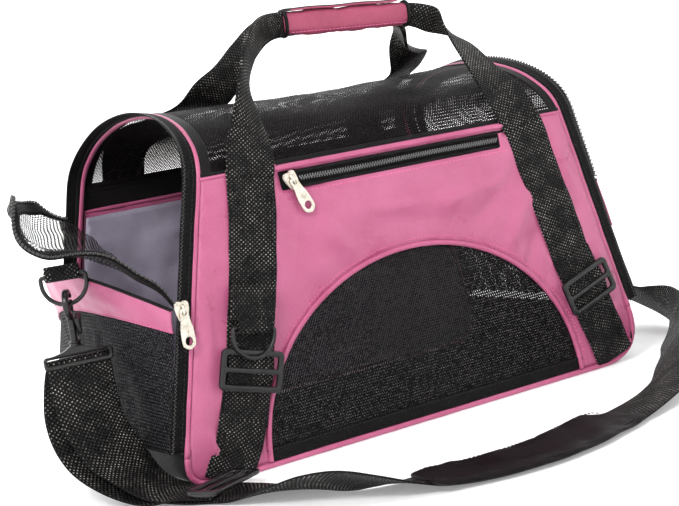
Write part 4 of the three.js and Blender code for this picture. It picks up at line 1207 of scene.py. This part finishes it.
# ---- Rear -----------------------------------------------------------------------------
def add_rear():
    def outside(flat):
        x, z = flat[:, 0], flat[:, 1]
        return np.stack([x, -FRONT_Y + rear_lift(x, z), z], -1)

    lower = side_outline(1.6, PANEL_BOTTOM, 195)
    settle(panel("rear_cloth", lower, [], outside, PINK, 4.2, 1.1), "shell", "pink", "rear_panel")
    low, high = end_x(194), end_x(213.5) - 1
    band = [(-low, 194), (low, 194), (high, 213.5), (-high, 213.5)]
    cloth_band = panel("rear_band_cloth", band, [], outside, BLACK_CLOTH, 4.0, 1.2)
    settle(cloth_band, "shell", "black_tape", "rear_top_band")
    x = np.linspace(-164, 164, 90)
    cords = (("rear_band_cord", 1.02, 194.6, 1.7), ("rear_top_cord", 0.985, 213.2, 1.9))
    for name, reach, z, radius in cords:
        line = points(x * reach, -FRONT_Y + 0.9, z)
        settle(round_cord(name, line, radius, PINK_CORD, around=8), "shell", "dark_pink")
    line = points(x, 0, 190.0)
    line[:, 1] = -FRONT_Y + rear_lift(line[:, 0], line[:, 2]) + 0.8
    settle(stitches("rear_stitches", line, (0, 1, 0), PINK_THREAD), "shell", "pink")
    edge = piping_curve(even(bottom_curve(), 4), -FRONT_Y + 0.2)
    cord = round_cord("rear_bottom_cord", edge, 2.2, PINK_CORD)
    settle(cord, "shell", "dark_pink", "rear_bottom_piping")


# ---- Inside ---------------------------------------------------------------------------
LINING_FOLDS = [((-130, 60), (-100, 180), 10, 2.2), ((-150, 150), (-60, 172), 8, 1.6),
                ((-60, 40), (60, 60), 10, 1.6)]


def add_inside():
    def lining(sign, seed):
        def lift(flat):
            x, z = flat[:, 0], flat[:, 1]
            p = np.stack([x, z], -1)
            puff = 1.2 * ripple(p, 60, seed) + 0.7 * ripple(p, 26, seed + 1)
            puff += creases(p, LINING_FOLDS)
            rim = rise(end_x(z) - 6 - np.abs(x), 10)
            return np.stack([x, sign * (109.8 - np.clip(puff, -1, 4) * rim), z], -1)

        return lift

    front = side_outline(4.5, 8, 210, True)
    cloth_panel = panel("front_lining_cloth", front, [], lining(-1, 41), LINING, 6, 0.8)
    settle(cloth_panel, "shell", "lining", "front_lining")
    rear = side_outline(4.5, 8, 190)
    cloth_panel = panel("rear_lining_cloth", rear, [], lining(1, 44), LINING, 5, 0.8)
    settle(cloth_panel, "shell", "lining", "rear_lining")

    def tray(u, v):
        """u runs round the tray's section, v across the bag."""
        left = bezier((-end_x(25), 25), (-HALF_LENGTH, 0), (-190, 0), 9)
        right = bezier((170, 0), (HALF_LENGTH, 0), (end_x(45), 45), 11)
        line = even(np.vstack([left, right]), 4)
        far = lengths(line)
        at = u * far[-1]
        x, z = np.interp(at, far, line[:, 0]), np.interp(at, far, line[:, 1])
        inner = 1.25
        return np.stack([x * (1 - inner / 230), v, z + inner], -1)

    base = grid_sheet("base_cloth", tray, (0, 1), (-111, 111), 100, 40, BLACK_CLOTH, 2.3, (460, 1))
    settle(base, "shell", "black_tape", "base_panel")

    def mat(u, v):
        p = np.stack([u, v], -1)
        rim = np.minimum(1 - np.exp(-(181 - np.abs(u + 8.5)) / 9), 1 - np.exp(-(108.7 - np.abs(v)) / 9))
        return np.stack([u, v, 4.6 + 2.0 * rim + 0.25 * ripple(p, 40, 51)], -1)

    board = grid_sheet("floor_mat", mat, (-188, 171), (-107.5, 107.5), 90, 54, BLACK_CLOTH, 2.0)
    settle(board, "shell", "board", "base_board")


# ---- Roof -----------------------------------------------------------------------------
ROOF_FOLDS = [((20, 90), (120, 130), 12, 2.0), ((200, 60), (310, 110), 12, 1.8),
              ((40, 190), (150, 150), 14, 2.0), ((190, 160), (300, 190), 13, 1.8)]


def roof_point(u, v, out=0.0):
    """u from end to end, v from the front shoulder over to the rear one."""
    half, rise, base = HALF_WIDTH - 1.3, CROWN_RISE - 1.5, SHOULDER_Z - 0.4
    turn = np.pi * v
    middle = np.sin(np.pi * u)
    p = np.stack([u * 330, v * 300], -1)
    sag = 3.4 * middle + 0.9 * middle * ripple(p, 90, 61) + 0.35 * ripple(p * [0.5, 1], 26, 62) * middle
    sag = sag + creases(p, ROOF_FOLDS) * middle
    lift = np.sin(turn)
    z = base + (rise - sag + out) * lift
    y = -(half - 0.25 * sag + out) * np.cos(turn)
    x = (2 * u - 1) * (end_x(z) - 1.4)
    return np.stack([x, y, z], -1)


def add_roof():
    roof = grid_sheet("roof_net_sheet", roof_point, (0, 1), (0, 1), 80, 90, ROOF_NET, 0.5, (325, 300))
    settle(roof, "shell", "netting", "roof_mesh")
    run = np.linspace(0, 1, 90)
    for name, v in (("front", 0.006), ("rear", 0.994)):
        line = roof_point(run, np.full(90, v), 0.6)
        settle(tape(f"roof_{name}_tape", line, (0, 0, 1), 3.6, 0.7, BLACK_CLOTH, 12), "shell", "black_tape")
    # A binding tape is sewn over the net along both end seams.
    run = np.linspace(0.01, 0.99, 90)
    for name, u in (("left", 0.012), ("right", 0.988)):
        line = roof_point(np.full(90, u), run, 0.5)
        settle(tape(f"roof_{name}_seam", line, (1, 0, 0), 4.2, 0.6, BLACK_CLOTH, 12), "shell", "black_tape")


# ---- Ends -----------------------------------------------------------------------------
def belly(y):
    """1 in the middle of an end, 0 at its sides."""
    return np.cos(np.pi * np.clip(y, -HALF_WIDTH, HALF_WIDTH) / (2 * HALF_WIDTH))


def end_arch(half, crown, start, count=60):
    """An arch on the end: up one side, over the crown and down the other, as (y, s)."""
    up = np.stack([np.full(30, -half), np.linspace(start, SHOULDER_S, 30)], -1)
    over = arc(0, SHOULDER_S, half, crown, 180, 0, count)
    down = up[::-1] * [-1, 1]
    return np.vstack([up[:-1], over, down[1:]])


def arch_out(line):
    """The direction out of the arch at each point of it, as (y, s)."""
    step = np.gradient(line, axis=0)
    return unit(np.stack([-step[:, 1], step[:, 0]], -1))


# Heights and depths of the band's edges are pairs: at the sides, and added in the middle.
END_SHAPES = {
    "left": dict(side=-1, corner=25, band_low=(112, 12), out_low=(13.6, 30),
                 band_high=(127, 25), out_high=(15, 46)),
    "right": dict(side=1, corner=45, band_low=(114, 0), out_low=(13.6, 3),
                  band_high=(154, 0), out_high=(13.6, 4)),
}


BAND_FOLDS = [((-96, 126), (-40, 136), 5, 1.6), ((-70, 142), (10, 152), 6, 1.4)]


def add_end(name, side, corner, band_low, out_low, band_high, out_high):
    start = corner / COS_LEAN + 6
    out = end_out(side)
    arch = even(end_arch(HALF_WIDTH - 2.2, CROWN_S - 2.2, corner / COS_LEAN - 1), 4)
    arch[:, 0] += np.sign(arch[:, 0]) * 2.0 * (1 - smooth_step(arch[:, 1], start - 6, start + 10))
    line = on_end(side, arch[:, 0], arch[:, 1], 0.2)
    line = line + 0.2 * ripple(line, 24, 71)[:, None] * out
    cord = round_cord(f"{name}_arch_cord", line, 2.3, PINK_CORD, out)
    settle(cord, "shell", "dark_pink", f"{name}_end_piping")

    # The zip tape stands out from the arch, with the teeth along its outer edge.
    middle = even(end_arch(HALF_WIDTH - 1.3, CROWN_S - 1.3, start - 3), 4)
    away = arch_out(middle)
    line = on_end(side, middle[:, 0], middle[:, 1], 7.0 + 0.5 * ripple(middle, 50, 72))
    settle(tape(f"{name}_tape", line, out, 5.6, 0.7, TAPE), "shell", "black_tape", f"{name}_zip_tape")
    normal = np.stack([0 * away[:, 0], away[:, 0], away[:, 1] * COS_LEAN], -1)
    normal[:, 0] = -side * away[:, 1] * SIN_LEAN
    edge = on_end(side, middle[:, 0], middle[:, 1], 11.0) + normal * 0.5
    settle(coil(f"{name}_coil", edge, normal, COIL, 1.4, 1.8, 0.8), "shell", "black_tape")
    seam = on_end(side, middle[:, 0], middle[:, 1], 4.6) + normal * 0.9
    settle(stitches(f"{name}_tape_stitches", seam, normal, BLACK_THREAD), "shell", "black_tape")
    inner = on_end(side, middle[:, 0] * 0.985, SHOULDER_S + (middle[:, 1] - SHOULDER_S) * 0.985, 1.2)
    settle(tape(f"{name}_inner_tape", inner, out, 4.0, 0.6, BLACK_CLOTH, 12), "shell", "black_tape")

    across = 111.6

    def lower(u, v):
        y = u * across
        top = band_low[0] + band_low[1] * belly(y)
        bottom = start - 4
        s = bottom + (top - bottom) * v
        bulge = out_low[1] * belly(y) * (0.1 + 0.4 * v + 0.5 * v * v)
        p = np.stack([y, s], -1)
        wrinkle = (0.9 * ripple(p * [1, 0.6], 34, 73) + 0.5 * ripple(p, 16, 74)) * belly(y)
        return on_end(side, y, s, out_low[0] - 1.2 + bulge + wrinkle)

    net = grid_sheet(f"{name}_lower_net", lower, (-1, 1), (0, 1), 64, 30, END_NET, 0.5, (111, 95))
    settle(net, "shell", "netting", f"{name}_lower_mesh")

    def band(u, v):
        y = u * across
        share = belly(y)
        low, high = band_low[0] + band_low[1] * share, band_high[0] + band_high[1] * share
        n_low, n_high = out_low[0] + out_low[1] * share, out_high[0] + out_high[1] * share
        s = low * (1 - v) + high * v
        n = n_low * (1 - v) + n_high * v
        p = np.stack([y, s], -1)
        puff = np.sin(np.pi * v) * (1.6 + 0.8 * ripple(p, 40, 75)) + 0.35 * ripple(p, 14, 76)
        fold = creases(p, BAND_FOLDS)
        return on_end(side, y, s, n + (puff + fold) * np.sqrt(np.maximum(share, 0.02)))

    cloth_band = grid_sheet(f"{name}_band_cloth", band, (-1, 1), (0, 1), 70, 16, PINK, 1.0, (111, 40))
    settle(cloth_band, "shell", "pink", f"{name}_band")
    u = np.linspace(-1, 1, 80)
    for edge_name, v, radius, material, slot in (("lower", 0.0, 1.0, PINK_CORD, "dark_pink"),
                                                 ("upper", 1.0, 1.3, BLACK_CLOTH, "black_tape")):
        line = band(u, np.full(80, v))
        cord = round_cord(f"{name}_band_{edge_name}_edge", line, radius, material, (0, 0, 1), 8)
        settle(cord, "shell", slot)


# ---- Doors ----------------------------------------------------------------------------
DOOR_HALF = 112.6
DOOR_N = 12.4
LEFT_FOLD = (130.0, 195.0)
LEFT_OPEN = 76.0


def turn_about(axis, degrees):
    return np.array(Matrix.Rotation(math.radians(degrees), 3, Vector(axis)))


def left_flap():
    """The surface of the open left door: (y, s) of the closed door to its place."""
    near = on_end(-1, -DOOR_HALF, LEFT_FOLD[0], DOOR_N - 0.2)
    far = on_end(-1, DOOR_HALF, LEFT_FOLD[1], DOOR_N - 0.2)
    axis = unit(far - near)
    turn = turn_about(axis, -LEFT_OPEN)
    reach = turn @ np.array([SIN_LEAN, 0, COS_LEAN])
    normal = -(turn @ end_out(-1))

    def lift(flat, out=0.0):
        y, s = flat[:, 0], flat[:, 1]
        share = (y + DOOR_HALF) / (2 * DOOR_HALF)
        fold_s = LEFT_FOLD[0] + (LEFT_FOLD[1] - LEFT_FOLD[0]) * share
        h = np.maximum(s - fold_s, 0)
        root = near + share[:, None] * (far - near)
        crown = SHOULDER_S + (CROWN_S - 1) * np.sqrt(np.maximum(1 - (y / (DOOR_HALF + 0.5)) ** 2, 0))
        full = np.maximum(crown - fold_s, 40)
        near_side, rear_side = smooth_step(-y, -10, 100), smooth_step(y, -70, 30)
        along = h * (1 - 0.22 * smooth_step(y, -100, 20))
        dome = (4 + 11 * near_side) * np.sin(np.pi * np.clip(h / np.maximum(full, 60), 0, 1.1))
        tip = np.clip((h - full + 34) / 34, 0, 2) ** 2
        curl = 24 * smooth_step(y, -105, -60) * (1 - 0.6 * rear_side) * tip
        droop = 10 * rear_side * np.clip(h / full, 0, 1)
        p = np.stack([y, s], -1)
        edge = np.minimum(np.minimum(crown - s, h * 0.9), DOOR_HALF - np.abs(y))
        hang = 12.0 * (1 - np.exp(-np.maximum(edge - 6, 0) / 20)) * smooth_step(h, 5, 50)
        wave = 1.6 * np.sin(h / 13 + y / 30) * smooth_step(h, 0, 40) + 1.2 * ripple(p, 42, 81)
        height = dome + curl - droop - hang + wave + out
        return root + along[:, None] * reach + height[:, None] * normal

    return lift, normal, near


def door_outline(fold, inset, count=60):
    half = DOOR_HALF - inset
    crown = CROWN_S - (HALF_WIDTH - DOOR_HALF) - inset
    slope = (fold[1] - fold[0]) / (2 * DOOR_HALF)
    middle = (fold[0] + fold[1]) / 2
    left, right = middle - slope * half, middle + slope * half
    up = np.stack([np.full(20, -half), np.linspace(left, SHOULDER_S, 20)], -1)
    over = arc(0, SHOULDER_S, half, crown, 180, 0, count)
    down = np.stack([np.full(20, half), np.linspace(SHOULDER_S, right, 20)], -1)
    return np.vstack([up[:-1], over, down[1:]])


def add_door(name, body, fold, lift, tooth_up, squash=None):
    """Netting with a doubled binding along its arch and half of the zip outside it."""
    net = panel(f"{name}_net", door_outline(fold, 10), [], lift, DOOR_NET, 4.0, 0.4)
    pieces = [settle(net, body, "netting", f"{name}_mesh")]

    outer, inner = even(door_outline(fold, 0.6), 3.5), even(door_outline(fold, 12.5), 3.5)
    count = len(outer)
    far, pick = np.linspace(0, 1, count), np.linspace(0, 1, len(inner))
    matched = np.stack([np.interp(far, pick, inner[:, i]) for i in range(2)], -1)
    # The binding's section: how far across it, and how far out of the netting.
    section = ((0, 0.0), (0.1, 1.1), (0.5, 1.4), (0.9, 1.1), (1, 0.0), (0.9, -1.1), (0.5, -1.4), (0.1, -1.1))
    rings = [lift(outer * (1 - t) + matched * t, out) for t, out in section]
    verts = np.stack(rings, 1).reshape(-1, 3)
    run = lengths(rings[0])
    uv = np.stack([np.stack([run, np.full(count, 12 * t)], -1) for t, out in section], 1)
    rim = make(f"{name}_binding", verts, tube_faces(count, 8), TAPE, uv.reshape(-1, 2))
    pieces.append(settle(rim, body, "black_tape", f"{name}_rim"))

    edge = even(door_outline(fold, 1.2), 2)
    line = lift(edge, tooth_up)
    up = lift(edge, tooth_up + 1.0) - line
    pieces.append(settle(coil(f"{name}_coil", line, up, COIL, 1.7, 2.8, 1.4), body, "black_tape"))
    edge = even(door_outline(fold, 10.2), 3)
    line = lift(edge, 1.5 if tooth_up > 0 else -1.5)
    pieces.append(settle(stitches(f"{name}_stitches", line, up[:1], BLACK_THREAD), body, "black_tape"))
    if squash:
        for piece in pieces:
            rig.squash(piece, **squash)
    return pieces


def add_doors():
    lift, normal, near = left_flap()
    squash = dict(joint="left_door_hinge", axis=tuple(normal), anchor=tuple(near * MM), keep=0.08)
    add_door("left_door", "left_door", LEFT_FOLD, lift, 1.6, squash)

    def closed(flat, out=0.0):
        y, s = flat[:, 0], flat[:, 1]
        p = np.stack([y, s], -1)
        crown = SHOULDER_S + (CROWN_S - 1) * np.sqrt(np.maximum(1 - (y / (DOOR_HALF + 0.5)) ** 2, 0))
        edge = np.minimum(np.minimum(crown - s, s - 157), DOOR_HALF - np.abs(y))
        puff = (1 - np.exp(-np.maximum(edge, 0) / 22)) * (1.6 + 1.2 * ripple(p, 50, 85))
        return on_end(1, y, s, DOOR_N + 1.0 + puff + out)

    add_door("right_door", "right_door", (157.6, 157.6), closed, 1.4)


# ---- Webbing on the sides -------------------------------------------------------------
LEFT_WEB = [[-182, 0], [-166, 33], [-152, 74], [-145, 102], [-132, 159], [-124, 214]]
RIGHT_WEB = [[185, -2], [167, 48], [161, 70], [152, 94], [137, 150], [122, 214]]


def side_web(name, stations, sign, lift, node):
    """Webbing sewn down a side, from the roof's edge to the hem."""
    line = spline(stations, 14)
    y = sign * (-FRONT_Y + lift(line[:, 0], line[:, 1]) * 0.8 + 1.4)
    centres = np.stack([line[:, 0], y, line[:, 1]], -1)
    step = travel(centres)
    across = np.cross(step, [0, 1.0, 0])
    web = sweep(name, band_rows(centres, across, WEB_HALF, 1.1), flat_section(24, 0.2, 0.45), WEBBING)
    hem = bottom_curve()
    hem = hem[np.argsort(hem[:, 0])]
    for vertex in web.data.vertices:
        low = (np.interp(vertex.co.x / MM, hem[:, 0], hem[:, 1]) + 1.0) * MM
        vertex.co.z = max(vertex.co.z, low)
    settle(web, "shell", "webbing", node)
    for edge in (-1, 1):
        seam = centres + unit(across) * edge * 16.2 + [0, sign * 1.25, 0]
        seam = seam[seam[:, 2] > np.interp(seam[:, 0], hem[:, 0], hem[:, 1]) + 4]
        kind = "inner" if edge < 0 else "outer"
        settle(stitches(f"{name}_stitch_{kind}", seam, (0, sign, 0), BLACK_THREAD), "shell", "webbing")


# The second layer of webbing at a buckle: how far up from it, and how far out.
DOUBLED_LAYER = [(-40, 2.2), (-22, 2.6), (-12, 3.2), (-4, 4.9), (0, 5.4), (4, 4.9), (11, 3.3), (22, 2.8),
                 (30, 2.4)]


def add_side_webs():
    for where, sign, lift in (("front", -1, front_lift), ("rear", 1, rear_lift)):
        for tag, stations in (("left", LEFT_WEB), ("right", RIGHT_WEB)):
            side_web(f"{where}_{tag}_web", stations, sign, lift, f"{where}_{tag}_webbing")

    def across_axis(turn):
        a = math.radians(turn)
        return (math.cos(a), 0, -math.sin(a)), (math.sin(a), 0, math.cos(a))

    for name, x, z, turn in (("front_left", -152, 74, 16), ("front_right", 161, 70, -18)):
        x_axis, z_axis = across_axis(turn)
        y = FRONT_Y - 4.2
        add_triglide(f"{name}_buckle", (x, y, z), x_axis, z_axis, 50, 30, f"{name}_triglide")
        up = np.array(z_axis)
        doubled = []
        for t, out in DOUBLED_LAYER:
            p = np.array([x, 0, z]) + up * t
            doubled.append([p[0], FRONT_Y - 0.8 - out, p[2], *x_axis, WEB_HALF - 0.6, 1.0])
        layer = sweep(f"{name}_web_layer", spline(doubled, 4), flat_section(20, 0.2, 0.45), WEBBING)
        settle(layer, "shell", "webbing")
    x_axis, z_axis = across_axis(12)
    add_ring("front_d_ring", (-146, -123.3, 104), x_axis, z_axis, "front_ring", "front_ring")
    add_ring_tab("front_ring_tab", (-146, -123.3, 104), x_axis, z_axis, "front_ring_loop", 27)
    add_box_stitch("front_box_stitch", (-143.5, -122.0, 122), x_axis, z_axis, 30, 18)


def add_box_stitch(name, place, x_axis, z_axis, width, height):
    """A crossed box of stitching on a folded end of webbing, with the end itself."""
    patch = rounded_box(-width / 2 - 2.5, -height / 2 - 3, width / 2 + 2.5, height / 2 + 3, 1.5)
    cover = plate(name + "_end", patch, [], 1.8, 0.5, place, x_axis, z_axis, WEBBING)
    settle(cover, "shell", "webbing")
    w, h = width / 2, height / 2
    out = -np.cross(unit(z_axis), unit(x_axis))
    paths = [[(-w, -h), (w, -h)], [(-w, h), (w, h)], [(-w, -h), (-w, h)], [(w, -h), (w, h)],
             [(-w, -h), (w, h)], [(-w, h), (w, -h)]]
    for i, path in enumerate(paths):
        line = turned(flat_loop(path), np.asarray(place) + out * 1.1, x_axis, z_axis)
        row = stitches(f"{name}_{i}", even(line, 3), out, BLACK_THREAD, 3.0, 2.1, 0.55)
        settle(row, "shell", "webbing")


# ---- Handles --------------------------------------------------------------------------
FRONT_HANDLE = [
    [-124, -116.0, 209, 0.97, 0, -0.2, 19],
    [-121, -115.6, 228, 0.97, 0.05, -0.25, 19],
    [-113, -108, 256, 0.75, 0.5, -0.3, 17],
    [-103, -94, 281, 0.4, 0.6, -0.6, 13.5],
    [-87, -79, 300, 0.25, 0.4, -0.85, 11.5],
    [-65, -61, 313, 0.1, 0.2, -1, 10],
    [-44, -50, 316.4, 0, 0.05, -1, 9.4],
    [-20, -47.6, 315.6, 0, 0, -1, 8.6],
    [18, -47.2, 314, 0, 0, -1, 8.6],
    [55, -47.4, 312.6, 0, 0, -1, 8.6],
    [78, -49, 310.5, 0.05, 0, -1, 9.4],
    [93, -58, 302, 0.4, -0.1, -0.9, 11.5],
    [102, -77, 282, 0.85, 0, -0.55, 15.5],
    [107, -96, 257, 0.96, 0, -0.4, 18.5],
    [114, -110.5, 232, 0.97, 0, 0.1, 19],
    [121.5, -116.2, 209, 0.97, 0, 0.22, 19],
]
REAR_HANDLE = [
    [-124, 116.0, 209, 0.97, 0, -0.2, 19],
    [-120, 112.4, 236, 0.97, 0, -0.2, 19],
    [-110, 101, 249, 0.95, -0.1, -0.1, 19],
    [-92, 79, 258.5, 0.9, -0.3, 0.1, 18.5],
    [-72, 49, 269, 0.8, -0.5, 0.1, 17],
    [-60, 26, 282, 0.5, -0.4, -0.6, 14],
    [-54, 2, 299, 0.3, 0, -0.9, 11.5],
    [-48, -22, 312.5, 0.2, 0, -1, 10],
    [-34, -36.4, 315.8, 0, 0, -1, 8.8],
    [18, -38, 314, 0, 0, -1, 8.6],
    [70, -36.6, 312, 0, 0, -1, 8.8],
    [86, -22, 309, 0.2, 0, -1, 10],
    [100, 2, 298, 0.4, 0.2, -0.8, 13],
    [121, 26, 283, 0.8, 0.4, -0.4, 16.5],
    [133, 52, 270, 0.9, 0.4, 0, 18],
    [132, 82, 259, 0.97, 0.2, 0.1, 19],
    [126, 102, 249, 0.97, 0.05, 0.1, 19],
    [119, 112.4, 236, 0.97, 0, 0.2, 19],
    [121.5, 116.2, 209, 0.97, 0, 0.22, 19],
]


def handle_rows(stations, per=10):
    rows = spline(stations, per)
    thick = 1.15 + 1.0 * smooth_step(19 - rows[:, 6], 4, 9)
    return np.hstack([rows, thick[:, None]])


def handle_section():
    """Open webbing whose long edges lift a little."""
    flat = flat_section(26, 0.2, 0.45)
    flat[:, 1] += 0.5 * np.abs(flat[:, 0]) ** 3
    return flat


def add_handles():
    front = sweep("front_handle_web", handle_rows(FRONT_HANDLE), handle_section(), WEBBING)
    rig.blend(front, "shell", "front_handle", start=(0, -0.1164, 0.2125), end=(0, -0.1125, 0.234))
    rear = sweep("rear_handle_web", handle_rows(REAR_HANDLE), handle_section(), WEBBING)
    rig.blend(rear, "shell", "rear_handle", start=(0, 0.1164, 0.2125), end=(0, 0.1125, 0.234))
    for web, node in ((front, "front_handle"), (rear, "rear_handle")):
        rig.slot(web, "webbing")
        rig.replaces(web, node)
    add_grip()


def add_grip():
    tilt = math.radians(2.2)
    x_dir = np.array([math.cos(tilt), 0, -math.sin(tilt)])
    z_dir = np.array([math.sin(tilt), 0, math.cos(tilt)])
    centre = np.array([17.5, -47.3, 314.0])
    count = 64
    along = np.linspace(-57.5, 57.5, count)
    share = np.abs(along) / 57.5
    puff = 1 - 0.16 * share**6
    half_z = 9.6 * puff + 0.25 * np.sin(along / 6.0)
    half_y = 6.6 * puff + 0.2 * np.sin(along / 4.3 + 1)
    line = centre + along[:, None] * x_dir
    rows = band_rows(line, z_dir, half_z, half_y)
    sleeve = sweep("grip_wrap", rows, flat_section(36, 0.75, 0.75), PINK_WRAP)
    co = np.array([v.co[:] for v in sleeve.data.vertices]) / MM
    ridge = 0.35 * ripple(co * [1, 0.4, 0.4], 13, 91) + 0.2 * ripple(co, 6, 92)
    away = unit(co - np.repeat(line, 36, axis=0))
    for vertex, shift in zip(sleeve.data.vertices, away * ridge[:, None]):
        vertex.co += Vector(shift * MM)
    settle(sleeve, "front_handle", "wrap", "grip_sleeve")
    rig.padded(sleeve, fill=0.7)

    for sign, tag in ((-1, "left"), (1, "right")):
        ring = []
        for t in np.linspace(0, TAU, 40, endpoint=False):
            c, s = math.cos(t), math.sin(t)
            ring.append(centre + x_dir * sign * 56.6 + z_dir * 9.4 * np.sign(c) * abs(c) ** 0.75
                        + np.array([0, 6.4, 0]) * np.sign(s) * abs(s) ** 0.75)
        cord = round_cord(f"grip_{tag}_binding", ring, 1.5, BLACK_CLOTH, x_dir, 8, closed=True)
        settle(cord, "front_handle", "black_tape")
    seam_line = centre + along[3:-3, None] * x_dir + z_dir * -7.4 + np.array([0, -6.5, 0])
    settle(stitches("grip_stitches", seam_line, (0, -1, 0), PINK_THREAD), "front_handle", "wrap")

    # The flap closes over the top, and its tip stands up a little at the right end.
    flap_rows = []
    for t in np.linspace(-56, 57.5, 50):
        lift = 9.9 + 1.1 + 4.6 * smooth_step(t, 44, 57.5) + 0.25 * math.sin(t / 7)
        p = centre + x_dir * t + z_dir * lift
        width = 6.6 - 1.6 * smooth_step(t, 40, 57.5)
        flap_rows.append([*p, 0, 1, 0, width, 0.9])
    flap = sweep("grip_flap_tape", flap_rows, flat_section(20, 0.25, 0.5), FUZZY)
    settle(flap, "grip_flap", "black_tape", "grip_flap")
    edge = [[*(np.array(r[:3]) + [0, -r[6] + 0.4, -0.9]), 0, 1, 0, 1.0, 0.8] for r in flap_rows[2:-4]]
    settle(sweep("grip_flap_edge", edge, round_section(8), PINK_WRAP), "grip_flap", "wrap")


# ---- Zip sliders ----------------------------------------------------------------------
def add_sliders():
    near = on_end(-1, 0, 128, 10)
    add_slider("left_front", (near[0], -HALF_WIDTH - 0.3, near[2]), (1, 0, 0), (0, 0, 1))
    for name, side, s in (("left_rear", -1, 188), ("right_rear", 1, 150)):
        far = on_end(side, 0, s, 10)
        add_slider(name, (far[0], HALF_WIDTH + 0.3, far[2]), (-1, 0, 0), (0, 0, 1))
    c, s = math.cos(math.radians(-24)), math.sin(math.radians(-24))
    add_slider("pocket", (-92, FRONT_Y - 0.6, 201), (c, 0, -s), (s, 0, c))


add_front()
add_rear()
add_inside()
add_roof()
for end_name, end_shape in END_SHAPES.items():
    add_end(end_name, **end_shape)
add_doors()
add_side_webs()
add_handles()
add_sliders()


# ---- Studio ---------------------------------------------------------------------------
def add_studio():
    """A round white bowl: a flat floor that curves up into a wall, with soft lights in it."""
    curve = [(1.7 + 1.3 * math.sin(a), 1.3 - 1.3 * math.cos(a)) for a in np.linspace(0.1, math.pi / 2, 14)]
    profile = [(0.6, 0.0), (1.7, 0.0), *curve, (3.0, 4.5)]
    turns = [(math.cos(a), math.sin(a)) for a in np.linspace(0, TAU, 96, endpoint=False)]
    verts = [(r * c, r * s, z) for r, z in profile for c, s in turns]
    faces = [tuple(range(96))]
    for i in range(len(profile) - 1):
        for k in range(96):
            n = (k + 1) % 96
            faces.append((i * 96 + k, i * 96 + 96 + k, i * 96 + 96 + n, i * 96 + n))
    mesh = bpy.data.meshes.new("floor")
    mesh.from_pydata(verts, [], faces)
    mesh.polygons.foreach_set("use_smooth", [True] * len(mesh.polygons))
    floor = bpy.data.objects.new("floor", mesh)
    bpy.context.scene.collection.objects.link(floor)
    shader = Shader("floor_paper", Roughness=0.9, Specular_IOR_Level=0.1, Emission_Strength=0.22)
    shader.shader.inputs["Emission Color"].default_value = (1, 1, 1, 1)
    grain = shader.noise(shader.place(False), 40.0, 2.0)
    shader.set("Base Color", shader.mix(grain, (0.91, 0.91, 0.91, 1), (0.94, 0.94, 0.94, 1)))
    mesh.materials.append(shader.material)
    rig.stage(floor)

    def light(name, place, target, size_m, power):
        data = bpy.data.lights.new(name, "AREA")
        data.shape = "RECTANGLE"
        data.size, data.size_y = size_m
        data.energy = power
        obj = bpy.data.objects.new(name, data)
        bpy.context.scene.collection.objects.link(obj)
        obj.location = place
        aim = Vector(target) - Vector(place)
        obj.rotation_euler = aim.to_track_quat("-Z", "Y").to_euler()

    light("key", (-1.3, -1.0, 1.35), (0, 0, 0.12), (0.45, 0.45), 19)
    light("top", (0.1, -0.1, 2.2), (0, 0, 0.0), (1.6, 1.4), 18)
    light("fill", (1.3, -1.5, 0.7), (0.1, 0, 0.1), (1.3, 1.0), 2.5)
    light("wall", (0, 0.9, 2.0), (0, 2.7, 0.9), (4.0, 1.0), 60)
    world = bpy.data.worlds.new("world")
    world.use_nodes = True
    background = world.node_tree.nodes["Background"]
    background.inputs[0].default_value = (1.0, 1.0, 1.0, 1)
    background.inputs[1].default_value = 0.12
    bpy.context.scene.world = world
    bpy.context.scene.view_settings.view_transform = "Standard"


add_studio()

visual_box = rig.bounds()
boxes = {"cad": [list(corner) for corner in cad_box], "visual": [list(corner) for corner in visual_box]}
with open("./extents.json", "w") as handle:
    json.dump(boxes, handle)
